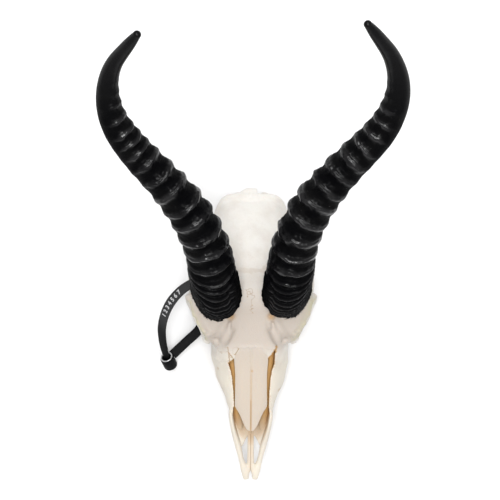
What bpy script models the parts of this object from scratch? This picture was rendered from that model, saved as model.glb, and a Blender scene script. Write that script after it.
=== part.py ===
"""Springbok skull with its horn sheaths and a sealed strap tag, lying on a flat surface.

The skull rests on its rear cheek teeth and on the two processes beside the condyles.
Metres, +Z up, the muzzle points to -Y, and the animal's left side is +X.
The tables below are in millimetres. Heights are above the surface that the skull lies on,
x is from the midline, and y is from a line that crosses the skull between its horns.
"""

import math

import bmesh
import bpy
from mathutils import Matrix, Vector

MM = 0.001
GAP = 0.3  # between solids that touch
CENTRE = (-0.9, 17.2, 0)  # moves the middle of the whole object onto the origin
BONE_VOXEL = 1.2
BONE_SOFTENING = 4
BONE_TRIANGLES = 6400  # that the bone keeps, before it is parted

# Rows of the face: y, crown z, shoulder x z, flank x z, gum x z, palate z
FACE = [
    (-119, 49.5, 13.0, 46.5, 16.3, 37, 14.5, 26, 26.0),
    (-108, 54.0, 14.0, 50.5, 19.8, 37, 18.5, 20, 23.0),
    (-96, 58.5, 15.5, 54.5, 24.5, 36, 24.0, 16, 21.0),
    (-84, 63.0, 17.5, 58.5, 27.8, 35, 27.2, 14, 20.0),
    (-72, 68.0, 21.0, 63.0, 29.2, 37, 28.8, 13, 19.5),
    (-61, 72.0, 25.0, 67.0, 30.0, 39, 29.8, 12, 19.0),
    (-51, 76.0, 27.0, 71.0, 29.0, 38, 29.6, 11, 20.0),
    (-42, 79.5, 26.0, 75.0, 25.0, 43, 25.5, 14, 26.0),
    (-35, 80.5, 22.0, 76.0, 18.0, 52, 14.0, 28, 31.0),
]
# Rows of the braincase, in the same order
BRAINCASE = [
    (-52, 75.5, 22.0, 72.0, 22.0, 55, 10.0, 34, 33.0),
    (-38, 81.0, 26.0, 77.0, 24.0, 58, 12.0, 33, 31.0),
    (-24, 85.5, 26.0, 80.5, 25.5, 58, 13.0, 31, 29.0),
    (-9, 86.0, 23.0, 80.5, 29.0, 58, 15.0, 28, 26.0),
    (6, 80.5, 21.5, 74.5, 31.0, 52, 18.0, 24, 22.0),
    (18, 72.5, 21.0, 66.0, 30.5, 44, 19.0, 20, 18.5),
    (28, 64.0, 20.0, 58.0, 27.0, 38, 18.5, 17, 15.0),
    (36, 55.5, 18.5, 50.5, 23.0, 34, 16.5, 16, 14.0),
    (41, 49.5, 15.0, 46.0, 18.5, 32, 13.0, 17, 15.0),
]
# Rows of the nasal cavity, cut out of the face
NASAL_CAVITY = [
    (-126, 52.0, 9.0, 50.0, 12.6, 40, 11.0, 29, 29.0),
    (-117, 49.5, 9.0, 47.0, 13.4, 38, 12.0, 29, 28.5),
    (-104, 54.0, 10.5, 51.0, 17.0, 37, 15.0, 27, 27.0),
    (-92, 58.5, 13.0, 55.0, 20.0, 37, 18.0, 26, 26.0),
    (-80, 63.0, 16.0, 58.5, 21.0, 39, 18.0, 27, 27.0),
    (-68, 66.0, 15.0, 60.0, 17.0, 44, 13.0, 32, 32.0),
]
# Plan of the gap in the roof of the nose, one side: it ends at the frontal bone's
# pointed prong, and runs forward beside the nasal bone as a narrowing slit
ROOF_GAP = [
    (0, -70.2), (8.6, -71.8), (12.9, -78.6), (17.6, -70.6), (16.6, -80), (14.2, -92),
    (12.9, -104), (12.6, -114), (13.2, -122), (0, -122),
]
# Plan of one nasal bone, from its root to its tip
NASAL_ROWS = [  # y, inner x, outer x
    (-70.8, 0.35, 4.0), (-72.6, 0.35, 8.8), (-79.2, 0.35, 12.1), (-92, 0.4, 11.5),
    (-105, 0.5, 12.0), (-114, 0.5, 11.7), (-117, 0.5, 10.6), (-123, 0.5, 8.1),
    (-130, 0.5, 5.3), (-134.3, 0.6, 2.4),
]
NASAL_THICK = 2.0
NASAL_ARCH = 5.2  # how far its outer edge falls below the crown at 17 mm from the midline

# The two bars of a premaxilla: x y z, half width, half height
OUTER_BAR = [
    (2.6, -174, 24.4, 1.8, 1.1), (2.9, -171, 25.3, 2.3, 1.8), (3.7, -166, 26.4, 2.9, 2.2),
    (5.9, -160, 27.6, 2.3, 2.4), (7.5, -154, 29, 2.4, 2.8), (9.1, -146, 31, 2.7, 3.6),
    (11.3, -138.7, 33.4, 2.4, 4.8), (13.3, -131, 36, 2.1, 6.4), (14.6, -124, 37.7, 1.9, 8),
    (15.0, -119.6, 38.5, 1.7, 9),
]
INNER_BAR = [
    (1.9, -167, 26.4, 1.1, 1.4), (1.5, -160, 26.9, 1.05, 1.4), (1.4, -150, 27.6, 1.05, 1.4),
    (1.4, -140.1, 28.2, 1.05, 1.2),
]

# The eye socket: its rim is a circle that faces outwards and a little forwards
ORBIT_CENTRE = Vector((39.2, -49.2, 58.0))
ORBIT_FACING = Vector((0.89, -0.43, 0.12)).normalized()
ORBIT_RIM = 17.6
ORBIT_RIM_THICK = 2.7
ORBIT_DEPTH = 18.0

HORN_SECTION_POINTS = 12
HORN_BASE = Vector((26.0, -30.5, 85.0))
HORN_BASE_FACING = Vector((0.16, -0.30, 0.94)).normalized()
HORN_DEPTH_SHARE = [(0, 1.17), (0.2, 1.1), (0.5, 1.03), (1, 1.0)]  # front to back, of its width
HORN_RADIUS = [
    (0, 19.7), (0.08, 18.7), (0.2, 17.5), (0.3, 16.2), (0.42, 14.6), (0.54, 12.7),
    (0.64, 10.8), (0.72, 8.6), (0.82, 6.1), (0.92, 4.2), (0.97, 2.8), (1, 1.3),
]
HORN_SPLAY = [  # degrees away from straight back
    (0, 3), (0.1, 6), (0.2, 8.5), (0.3, 23), (0.36, 31.5), (0.44, 39.5), (0.54, 43.6),
    (0.6, 40), (0.66, 31), (0.72, 13), (0.82, -23.7), (0.9, -44), (1, -54),
]
HORN_RISE = [  # degrees above level
    (0, 74), (0.1, 62), (0.2, 47), (0.32, 34), (0.44, 28), (0.56, 27), (0.66, 33),
    (0.76, 43), (0.88, 52), (1, 50),
]
HORNS = {"right": (-1, 269.0), "left": (1, 277.0)}  # side and length: the left is longer
RING_SPACING = [
    (0, 4.3), (0.1, 5.2), (0.15, 9.0), (0.22, 14.0), (0.34, 16.0), (0.46, 13.5),
    (0.56, 11.0), (0.72, 8.5),
]
RING_HEIGHT = [(0, 0.8), (0.12, 0.9), (0.2, 2.2), (0.45, 2.5), (0.6, 2.0), (0.72, 0.5)]
RINGS_END = 0.72  # the last part of a horn is smooth

# Cheek teeth, front to back: length along the row, width
TEETH = [(6.0, 6.5), (7.0, 8.0), (7.5, 9.5), (10.0, 11.0), (12.5, 12.0), (13.5, 12.0)]
TEETH_FRONT = Vector((16.8, -106.0, 7.6))  # middle of the row's front end, on its biting side
TEETH_BACK = Vector((23.2, -49.0, -1.05))
TEETH_ROOT_Z = 22.0

STRAP_THICK = 1.4
# The strap's route: x y z, the way its flat face looks, half width
STRAP = [
    (-64.4, -82.0, 9.6, (-0.5, -0.6, 0.2), 1.8),
    (-65.6, -78.6, 15.0, (-0.7, -0.5, 0.3), 2.0),
    (-67.0, -73.2, 20.5, (-0.7, -0.3, 0.6), 2.4),
    (-68.1, -66.6, 26.0, (-0.6, -0.2, 0.8), 3.0),
    (-68.0, -57.4, 34.0, (-0.5, -0.1, 0.9), 3.1),
    (-65.3, -47.0, 43.0, (-0.4, 0.0, 0.9), 3.1),
    (-60.4, -37.4, 50.0, (-0.2, 0.1, 0.9), 3.1),
    (-53.3, -29.2, 55.5, (0.0, 0.3, 0.9), 3.1),
    (-46.3, -24.1, 57.0, (0.3, 0.4, 0.9), 3.1),
    (-40.2, -21.4, 53.0, (0.7, 0.4, 0.5), 3.1),
    (-37.2, -21.5, 45.0, (1.0, 0.2, 0.1), 3.1),
    (-36.4, -25.5, 34.0, (1.0, 0.1, -0.2), 3.2),
    (-36.4, -33.0, 24.0, (0.8, 0.1, -0.5), 3.4),
    (-36.4, -43.0, 15.6, (0.4, 0.1, -0.8), 3.6),
    (-37.4, -52.5, 10.6, (0.1, 0.1, -1.0), 3.7),
    (-41.2, -60.8, 8.4, (0.0, 0.0, -1.0), 3.7),
    (-50.5, -69.6, 7.4, (0.0, 0.0, -1.0), 3.7),
    (-61.4, -79.9, 6.8, (0.0, 0.0, -1.0), 3.7),
]
LOCK_MOUTH = Vector((-65.0, -80.7, 12.6))
LOCK_RUN = Vector((1.6, -6.9, -8.4))  # from its mouth to its closed end
LOCK_RADIUS = 5.2
LOCK_BORE = 3.7
LOCK_BORE_DEPTH = 6.5
EYELET_HEIGHT = 0.9
EYELET_RADIUS = 4.5
SIDES = {"left": 1, "right": -1}


def clear_scene():
    for obj in list(bpy.data.objects):
        bpy.data.objects.remove(obj)


def value_at(table, t):
    """A smooth value from (position, value) pairs."""
    t = min(max(t, table[0][0]), table[-1][0])
    for k in range(len(table) - 1):
        if t <= table[k + 1][0]:
            break
    (t0, v0), (t1, v1) = table[k], table[k + 1]
    slopes = []
    for j in (k, k + 1):
        lo, hi = table[max(j - 1, 0)], table[min(j + 1, len(table) - 1)]
        slopes.append((hi[1] - lo[1]) / (hi[0] - lo[0]))
    span = t1 - t0
    u = (t - t0) / span
    return (
        (2 * u**3 - 3 * u**2 + 1) * v0
        + (u**3 - 2 * u**2 + u) * span * slopes[0]
        + (3 * u**2 - 2 * u**3) * v1
        + (u**3 - u**2) * span * slopes[1]
    )


def curve_point(before, start, end, after, u):
    """A point on the smooth curve from start to end; works on numbers and on vectors."""
    return 0.5 * (
        2 * start
        + (end - before) * u
        + (2 * before - 5 * start + 4 * end - after) * u**2
        + (3 * start - before - 3 * end + after) * u**3
    )


def closed_outline(points, steps):
    """A smooth closed outline through the points."""
    count = len(points)
    return [
        curve_point(*(points[(k + j) % count] for j in (-1, 0, 1, 2)), step / steps)
        for k in range(count)
        for step in range(steps)
    ]


def open_route(points, steps):
    """A smooth open curve through the points."""
    last = len(points) - 1
    route = [
        curve_point(
            points[max(k - 1, 0)], points[k], points[k + 1], points[min(k + 2, last)],
            step / steps,
        )
        for k in range(last)
        for step in range(steps)
    ]
    return route + [points[-1]]


def new_object(name, mesh):
    obj = bpy.data.objects.new(name, mesh)
    bpy.context.scene.collection.objects.link(obj)
    return obj


def solid(name, points, faces):
    """An object from points in millimetres, with its faces turned outwards."""
    mesh = bpy.data.meshes.new(name)
    shift = Vector(CENTRE)
    mesh.from_pydata([(Vector(p) + shift) * MM for p in points], [], faces)
    form = bmesh.new()
    form.from_mesh(mesh)
    bmesh.ops.recalc_face_normals(form, faces=form.faces)
    form.to_mesh(mesh)
    form.free()
    return new_object(name, mesh)


def loft(name, rings):
    """A closed solid through rings of equal length, with flat ends."""
    count = len(rings[0])
    last = (len(rings) - 1) * count
    faces = [
        (r + i, r + (i + 1) % count, r + count + (i + 1) % count, r + count + i)
        for r in range(0, last, count)
        for i in range(count)
    ]
    faces.append(tuple(range(count)))
    faces.append(tuple(range(last, last + count)))
    return solid(name, [p for ring in rings for p in ring], faces)


def body_loft(name, rows, steps=3):
    """A solid that is alike on both sides of the midline, from rows of FACE's kind."""
    rings = []
    for y, crown, *half, floor in rows:
        right = [Vector((half[i], y, half[i + 1])) for i in (0, 2, 4)]
        left = [Vector((-p.x, p.y, p.z)) for p in reversed(right)]
        outline = [Vector((0, y, crown)), *right, Vector((0, y, floor)), *left]
        rings.append(closed_outline(outline, steps))
    smooth = [open_route([ring[i] for ring in rings], 2) for i in range(len(rings[0]))]
    return loft(name, [list(ring) for ring in zip(*smooth)])


def tube(name, side, stations, up=(0, 0, 1), around=14, steps=4):
    """A solid along x y z, half width, half height; up sets which way the height goes."""
    route = open_route([Vector((side * x, y, z)) for x, y, z, _, _ in stations], steps)
    sizes = open_route([Vector((a, b)) for *_, a, b in stations], steps)
    up = Vector((side * up[0], up[1], up[2]))
    rings = []
    for k, (centre, (a, b)) in enumerate(zip(route, sizes)):
        along = (route[min(k + 1, len(route) - 1)] - route[max(k - 1, 0)]).normalized()
        across = along.cross(up).normalized()
        rise = across.cross(along)
        turns = (math.tau * i / around for i in range(around))
        rings.append([
            centre + across * (a * math.cos(t)) + rise * (b * math.sin(t)) for t in turns
        ])
    return loft(name, rings)


def ball(name, side, centre, radii, turn=(0, 0, 0)):
    """An egg-shaped solid, turned by degrees about X, Y and Z."""
    form = bmesh.new()
    bmesh.ops.create_icosphere(form, subdivisions=3, radius=1)
    spin = Matrix.Identity(3)
    for axis, degrees in zip("XYZ", (turn[0], side * turn[1], side * turn[2])):
        spin = Matrix.Rotation(math.radians(degrees), 3, axis) @ spin
    middle = Vector((side * centre[0], centre[1], centre[2]))
    points = [middle + spin @ Vector(map(lambda c, r: c * r, v.co, radii)) for v in form.verts]
    faces = [tuple(v.index for v in f.verts) for f in form.faces]
    form.free()
    return solid(name, points, faces)


def prism(name, outline, low, high):
    """A plan outline, raised from one height to another."""
    rings = [[Vector((x, y, z)) for x, y in outline] for z in (low, high)]
    return loft(name, rings)


def block(name, low, high):
    corners = [(low[0], low[1]), (high[0], low[1]), (high[0], high[1]), (low[0], high[1])]
    return prism(name, corners, low[2], high[2])


def rod(name, start, end, radius, around=16):
    """A straight round bar."""
    start, end = Vector(start), Vector(end)
    along = (end - start).normalized()
    across = along.orthogonal().normalized()
    rise = along.cross(across)
    ring = [
        radius * (across * math.cos(t) + rise * math.sin(t))
        for t in (math.tau * i / around for i in range(around))
    ]
    return loft(name, [[p + end_point for p in ring] for end_point in (start, end)])


def applied(obj):
    """Applies the object's modifiers."""
    bpy.context.view_layer.update()
    graph = bpy.context.evaluated_depsgraph_get()
    mesh = bpy.data.meshes.new_from_object(obj.evaluated_get(graph))
    obj.modifiers.clear()
    obj.data = mesh
    return obj


def drop(objects):
    for obj in objects:
        bpy.data.objects.remove(obj)


def combined(obj, operation, others, solver="EXACT"):
    """Adds, cuts or keeps what the others share with the object, and removes the others."""
    tools = bpy.data.collections.new("tools")
    for other in others:
        tools.objects.link(other)
    modifier = obj.modifiers.new(operation.lower(), "BOOLEAN")
    modifier.operation = operation
    modifier.solver = solver
    if operation == "INTERSECT":
        modifier.object = others[0]
    else:
        modifier.operand_type = "COLLECTION"
        modifier.collection = tools
    applied(obj)
    drop(others)
    bpy.data.collections.remove(tools)
    return obj


def largest_surface(obj):
    """Keeps the object's largest closed surface."""
    form = bmesh.new()
    form.from_mesh(obj.data)
    left, surfaces = set(form.verts), []
    while left:
        reached, edge = set(), [left.pop()]
        while edge:
            vertex = edge.pop()
            reached.add(vertex)
            for link in vertex.link_edges:
                other = link.other_vert(vertex)
                if other in left:
                    left.discard(other)
                    edge.append(other)
        surfaces.append(reached)
    surfaces.sort(key=len)
    loose = [v for surface in surfaces[:-1] for v in surface]
    bmesh.ops.delete(form, geom=loose, context="VERTS")
    bmesh.ops.triangulate(form, faces=form.faces)
    form.to_mesh(obj.data)
    form.free()
    return obj


def copy_of(obj, name):
    return new_object(name, obj.data.copy())


def orbit_frame(side):
    """The middle of the eye socket's rim, the way it faces, along it and up it."""
    facing = Vector((side * ORBIT_FACING.x, ORBIT_FACING.y, ORBIT_FACING.z))
    back = Vector((0, 0, 1)).cross(facing).normalized() * side
    return (
        Vector((side * ORBIT_CENTRE.x, ORBIT_CENTRE.y, ORBIT_CENTRE.z)),
        facing,
        back,
        facing.cross(back).normalized() * side,
    )


def orbit_rim(side):
    """The ring of bone round the eye socket."""
    middle, facing, back, up = orbit_frame(side)
    around, section = 28, 10
    points = []
    for t in (math.tau * i / around for i in range(around)):
        outwards = back * math.cos(t) + up * math.sin(t)
        for u in (math.tau * j / section for j in range(section)):
            reach = ORBIT_RIM + ORBIT_RIM_THICK * math.cos(u)
            lean = 1.25 * ORBIT_RIM_THICK * math.sin(u)
            points.append(middle + outwards * reach + facing * lean)
    faces = [
        (
            i * section + j,
            i * section + (j + 1) % section,
            (i + 1) % around * section + (j + 1) % section,
            (i + 1) % around * section + j,
        )
        for i in range(around)
        for j in range(section)
    ]
    return solid("rim", points, faces)


def orbit_socket(side):
    """The hollow that is cut into the skull behind the rim."""
    middle, facing, back, up = orbit_frame(side)
    hollow = [
        (6.0, 17.6), (0.0, 15.4), (-5.0, 15.0), (-11.0, 14.0), (-15.0, 11.0), (-ORBIT_DEPTH, 6.0)
    ]
    rings = [
        [
            middle + facing * depth + radius * (back * math.cos(t) + up * math.sin(t))
            for t in (math.tau * i / 22 for i in range(22))
        ]
        for depth, radius in hollow
    ]
    return loft("socket", rings)


def side_forms(side):
    """The bone of one side that is blended with the face and the braincase."""
    base, facing = horn_base(side)
    return [
        orbit_rim(side),
        # roof of the eye socket, from the forehead to the rim
        ball("brow", side, (31, -46, 75), (17, 22, 6.5), (8, 10, -24)),
        # tear bone in front of the eye
        ball("lacrimal", side, (29.5, -65, 51), (7.5, 8, 17), (8, 4, -20)),
        # cheek bone under the eye
        tube("cheek", side, [
            (25, -78, 33, 4, 6), (29.5, -68, 35, 4.5, 7), (35.5, -58, 38.5, 4.2, 5.5),
            (41.5, -49, 40.5, 3.6, 4.5), (45, -39, 42, 3, 4.2), (45.3, -25, 41.5, 2.4, 4.2),
            (43.5, -10, 42, 2.4, 4.4), (38.5, 2, 43, 3.2, 4.4), (31, 9, 44, 4, 5),
        ]),
        # jaw joint and the bone over the ear
        ball("joint", side, (32, 3, 38), (7, 8, 4.5)),
        ball("temporal", side, (27.5, 17, 36), (6.5, 9, 12)),
        tube("ear", side, [(27, 13, 33, 4, 4), (35.5, 13, 37, 3.6, 3.6)]),
        ball("bulla", side, (16.5, 9, 18.5), (6.5, 11.5, 10.5), (-8, 10, -12)),
        tube("process", side, [
            (22, 20, 30, 6, 4.5), (22.5, 24, 18, 4.5, 3.2), (21.5, 26, 6, 3.4, 2.4),
            (20.8, 26, -3, 3, 2.2),
        ], up=(0, 1, 0)),
        ball("condyle", side, (10.5, 38.5, 19.5), (6.8, 8, 9), (-20, 0, 15)),
        tube("crest", side, [
            (0, 43, 49.5, 3.2, 3.2), (8, 42.6, 48.5, 3.0, 3.0), (16, 41.3, 47, 2.8, 2.8),
            (22.6, 37.5, 44, 2.7, 2.7), (25.8, 29, 37, 2.4, 2.4),
        ]),
        # plates beside the rear opening of the nose
        tube("pterygoid", side, [
            (8.6, -55, 25, 1.8, 7.5), (8.6, -40, 27, 1.6, 8), (8.2, -26, 28, 1.4, 6.5),
            (8.0, -16, 28, 1.4, 4),
        ]),
        # foot of the horn
        tube("pedicle", side, [
            (base.x * side - 3, base.y + 2, base.z - 16, 19, 17),
            (base.x * side, base.y, base.z, 15.5, 19.5),
            (base.x * side + facing.x * side * 8, base.y + facing.y * 8,
             base.z + facing.z * 8, 14, 17),
        ], up=(0, 1, 0)),
    ]


def midline_forms():
    return [
        body_loft("face", FACE),
        body_loft("braincase", BRAINCASE),
        ball("poll", 1, (0, 43.5, 47.5), (6, 4.5, 5)),
        # floor of the nose, in front of the cheek teeth
        tube("palate", 1, [
            (0, -139.5, 28, 6.5, 1.5), (0, -130, 27.5, 10, 1.9), (0, -118, 26.5, 13.6, 2.6),
            (0, -104, 25, 16, 3),
        ]),
        tube("base", 1, [
            (0, 38, 15, 8, 4), (0, 20, 18, 9.5, 4.5), (0, 0, 22, 9, 4.5),
            (0, -20, 29, 7.5, 4), (0, -44, 34, 7, 4),
        ]),
        ball("snout_end", 1, (0, -30, 80), (24, 24, 7)),
    ]


def skull_cutters():
    gap_side = ROOF_GAP[:-1]
    mirrored = [(-x, y) for x, y in reversed(gap_side[1:])]
    cutters = [
        body_loft("nasal_cavity", NASAL_CAVITY),
        prism("roof_gap", gap_side + mirrored, 46, 90),
        # vault of the palate between the cheek teeth
        tube("vault", 1, [
            (0, -122, 20.5, 7, 4), (0, -104, 17.5, 10, 5), (0, -80, 15.5, 13.5, 6.5),
            (0, -50, 14, 14, 7.5), (0, -36, 12, 13, 8),
        ]),
        # rear opening of the nose
        tube("choana", 1, [(0, -60, 27, 6, 5.5), (0, -46, 27, 6.6, 6), (0, -12, 22, 6.2, 7)]),
        # hollow of the braincase, behind the hole for the spinal cord
        tube("brain", 1, [
            (0, 50, 24, 8.6, 8), (0, 34, 27, 8.2, 8), (0, 27, 32, 11, 10),
            (0, 16, 44, 17, 15), (0, 2, 52, 18, 17), (0, -8, 55, 10, 10),
        ]),
    ]
    for side in SIDES.values():
        cutters += [
            orbit_socket(side),
            # the space behind the eye, inside the cheek arch
            ball("temple", side, (37.5, -17, 52), (6.8, 17.5, 30), (0, 8, 4)),
            rod("ear_hole", (side * 24, 13, 32), (side * 42, 13, 39), 2.0, 12),
            rod("brow_hole", (side * 14, -46, 66), (side * 15, -48, 86), 1.7, 10),
            rod("cheek_hole", (side * 16, -101, 35), (side * 30, -109, 35), 2.0, 10),
        ]
    return cutters


def horn_base(side):
    base = Vector((side * HORN_BASE.x, HORN_BASE.y, HORN_BASE.z))
    facing = Vector((side * HORN_BASE_FACING.x, HORN_BASE_FACING.y, HORN_BASE_FACING.z))
    return base, facing


def horn_cutter(side):
    """Everything above the plane that a horn stands on, near that horn."""
    base, facing = horn_base(side)
    rings = []
    for height in (0, 30):
        middle = base + facing * height
        across = facing.cross(Vector((0, 1, 0))).normalized()
        along = facing.cross(across)
        rings.append([
            middle + across * (23 * math.cos(t)) + along * (27 * math.sin(t))
            for t in (math.tau * i / 24 for i in range(24))
        ])
    return loft("horn_seat", rings)


def ring_crests(length):
    """Heights up the horn of the tops of its rings."""
    crests, at = [], 2.2
    while at < RINGS_END * length:
        crests.append(at)
        at += value_at(RING_SPACING, at / length)
    return crests


def horn_heights(crests, length):
    """Where the horn's section changes: two or three places for each ring, then the tip."""
    heights = [0.0]
    for low, high in zip(crests, crests[1:]):
        parts = 2 if high - low < 6 else 3
        heights += [low + (high - low) * k / parts for k in range(parts)]
    tip_start = crests[-1]
    steps = 10
    heights += [tip_start + (length - tip_start) * k / steps for k in range(steps + 1)]
    return heights


def ring_lift(crests, at, share):
    """How far a ring stands out at a height, as a share of its full height."""
    below = max((c for c in crests if c <= at), default=None)
    above = min((c for c in crests if c > at), default=None)
    if below is None or above is None:
        return 1.0 if share < 0.1 else 0.0
    phase = (at - below) / (above - below)
    return (0.5 + 0.5 * math.cos(math.tau * phase)) ** 0.8


def horn(name, side, length):
    """A horn sheath: rings low down, a smooth tip, and a bend in two planes."""
    base, facing = horn_base(side)
    crests = ring_crests(length)
    heights = horn_heights(crests, length)
    step = 0.5
    centre, at, rings = base + facing * GAP, 0.0, []
    for target in heights:
        while at < target - 1e-6:
            move = min(step, target - at)
            centre = centre + horn_way(side, (at + move / 2) / length) * move
            at += move
        share = at / length
        way = horn_way(side, share)
        level = min(1.0, share / 0.16)
        normal = facing.lerp(way, level * level * (3 - 2 * level)).normalized()
        outwards = Vector((side, 0, 0))
        across = (outwards - normal * outwards.dot(normal)).normalized()
        back = normal.cross(across) * side
        radius = value_at(HORN_RADIUS, share)
        depth = value_at(HORN_DEPTH_SHARE, share)
        lift = value_at(RING_HEIGHT, share) if share < RINGS_END else 0.0
        sunk = lift * (1 - ring_lift(crests, at, share))
        ring = []
        for t in (math.tau * i / HORN_SECTION_POINTS for i in range(HORN_SECTION_POINTS)):
            inner_front = 0.5 - 0.5 * math.cos(t - 0.7)
            reach = radius - sunk * (0.3 + 0.7 * inner_front)
            ring.append(
                centre + across * (reach * math.cos(t)) + back * (depth * reach * math.sin(t))
            )
        rings.append(ring)
    return loft(name, rings)


def horn_way(side, share):
    """The way a horn runs at a share of its length."""
    splay = math.radians(value_at(HORN_SPLAY, share))
    rise = math.radians(value_at(HORN_RISE, share))
    level = math.cos(rise)
    return Vector((side * level * math.sin(splay), level * math.cos(splay), math.sin(rise)))


def teeth(side, more=0.0):
    """The cheek teeth of one side, each a rounded block with its root in the jaw."""
    crowns, start = [], 0.0
    total = sum(length for length, _ in TEETH)
    for length, width in TEETH:
        share = (start + length / 2) / total
        middle = TEETH_FRONT.lerp(TEETH_BACK, share)
        rings = []
        for z, grow in ((max(middle.z, 0.0), 0.86), (middle.z + 4, 1.0), (TEETH_ROOT_Z, 0.9)):
            ring = []
            for t in (math.tau * (i + 0.5) / 12 for i in range(12)):
                c, s = math.cos(t), math.sin(t)
                swell = 1 / (abs(c) ** 4 + abs(s) ** 4) ** 0.25
                ring.append(Vector((
                    side * (middle.x + swell * c * (grow * width / 2 + more)),
                    middle.y + swell * s * (grow * (length / 2 + 0.15) + more),
                    z + (more if z == TEETH_ROOT_Z else -more),
                )))
            rings.append(ring)
        crowns.append(loft("tooth", rings))
        start += length
    return crowns


def nasal(name, side, more=0.0):
    """A long thin bone over the nose, arched across."""
    across = 4
    crown = [(y, z) for y, z, *_ in FACE]
    rows = open_route([Vector(row) for row in NASAL_ROWS], 2)
    rows[0].x += more
    rings = []
    for y, inner, outer in rows:
        inner, outer = inner - more, outer + more
        top = value_at(crown, y) if y > crown[0][0] else crown[0][1] + 0.38 * (y - crown[0][0])
        line = []
        for k in range(across + 1):
            x = inner + (outer - inner) * k / across
            line.append(Vector((side * x, y, top + more - NASAL_ARCH * (x / 17) ** 2)))
        under = [p - Vector((0, 0, NASAL_THICK + 2 * more)) for p in reversed(line)]
        rings.append(line + under)
    return loft(name, rings)


def premaxilla(name, side, more=0.0):
    """One half of the muzzle's tip: an outer bar that rises to the nasal bone, and an
    inner bar beside the midline, with a gap between them that goes right through."""
    bars = [
        tube(name, side, [(x, y, z, a + more, b + more) for x, y, z, a, b in stations],
             around=around, steps=2)
        for stations, around in ((OUTER_BAR, 10), (INNER_BAR, 8))
    ]
    return largest_surface(combined(bars[0], "UNION", bars[1:]))


def strap():
    """The tag's flat strap, from the lock's mouth, round the cheek arch, to the lock."""
    route = open_route([Vector(row[:3]) for row in STRAP], 3)
    faces = open_route([Vector(row[3]) for row in STRAP], 3)
    widths = open_route([row[4] for row in STRAP], 3)
    rings = []
    for k, centre in enumerate(route):
        along = (route[min(k + 1, len(route) - 1)] - route[max(k - 1, 0)]).normalized()
        across = along.cross(faces[k]).normalized() * widths[k]
        rise = across.cross(along).normalized() * (STRAP_THICK / 2)
        rings.append([
            centre + across + rise, centre - across + rise, centre - across - rise,
            centre + across - rise,
        ])
    return loft("tag_strap", rings)


def tag():
    """The tag's one moulding: the strap and its round lock, with a bore in its mouth."""
    way = LOCK_RUN.normalized()
    body = rod("tag", LOCK_MOUTH, LOCK_MOUTH + LOCK_RUN, LOCK_RADIUS, 24)
    bore = rod("bore", LOCK_MOUTH - way * 2, LOCK_MOUTH + way * LOCK_BORE_DEPTH, LOCK_BORE, 20)
    combined(body, "DIFFERENCE", [bore])
    return largest_surface(combined(body, "UNION", [strap()]))


def eyelet():
    """The pale ring round the lock's mouth."""
    way = LOCK_RUN.normalized()
    foot = LOCK_MOUTH - way * GAP
    ring = rod("tag_eyelet", foot - way * EYELET_HEIGHT, foot, EYELET_RADIUS, 24)
    hole = rod("hole", foot - way * 3, foot + way, LOCK_BORE, 20)
    return largest_surface(combined(ring, "DIFFERENCE", [hole]))


def softened(obj, voxel, passes):
    """Rebuilds the surface as one skin, and rounds its edges."""
    remesh = obj.modifiers.new("blend", "REMESH")
    remesh.mode = "VOXEL"
    remesh.voxel_size = voxel * MM
    soften = obj.modifiers.new("soften", "SMOOTH")
    soften.factor = 0.5
    soften.iterations = passes
    return applied(obj)


def blended_bone():
    """Face, braincase, eye sockets and arches as one soft form, then cut open."""
    pieces = midline_forms()
    for side in SIDES.values():
        pieces += side_forms(side)
    form = bmesh.new()
    for piece in pieces:
        form.from_mesh(piece.data)
    drop(pieces)
    mesh = bpy.data.meshes.new("bone")
    form.to_mesh(mesh)
    form.free()
    bone = softened(new_object("bone", mesh), BONE_VOXEL, BONE_SOFTENING)
    combined(bone, "DIFFERENCE", skull_cutters())
    softened(bone, BONE_VOXEL * 0.8, 2)
    thin = bone.modifiers.new("thin", "DECIMATE")
    thin.ratio = BONE_TRIANGLES / (2 * len(bone.data.polygons))
    applied(bone)
    for side in SIDES.values():
        combined(bone, "DIFFERENCE", [horn_cutter(side), nasal("seat", side, GAP)])
        combined(bone, "DIFFERENCE", [premaxilla("end", side, GAP)])
        combined(bone, "DIFFERENCE", teeth(side, GAP))
    return bone


def wedge(name, points, x_low, x_high):
    """A solid from a side view outline, y and z, between two x values."""
    rings = [[Vector((x, y, z)) for y, z in points] for x in (x_low, x_high)]
    return loft(name, rings)


# Side view lines, y at height 110 and at height -10, along which the bones part
FACE_END = (-86.0, -44.0)
FOREHEAD_END = (1.0, -46.0)
OCCIPUT_START = (31.0, 31.0)
CHEEK_BOX = ((34.2, -62.0, 25.0), (60.0, -3.0, 49.0))


def slab(name, front, back, x_low=-70, x_high=70):
    """The space between two of those side view lines, half a gap inside each."""
    half = GAP / 2
    outline = [
        (front[0] + half, 110), (back[0] - half, 110), (back[1] - half, -10),
        (front[1] + half, -10),
    ]
    return wedge(name, outline, x_low, x_high)


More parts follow.
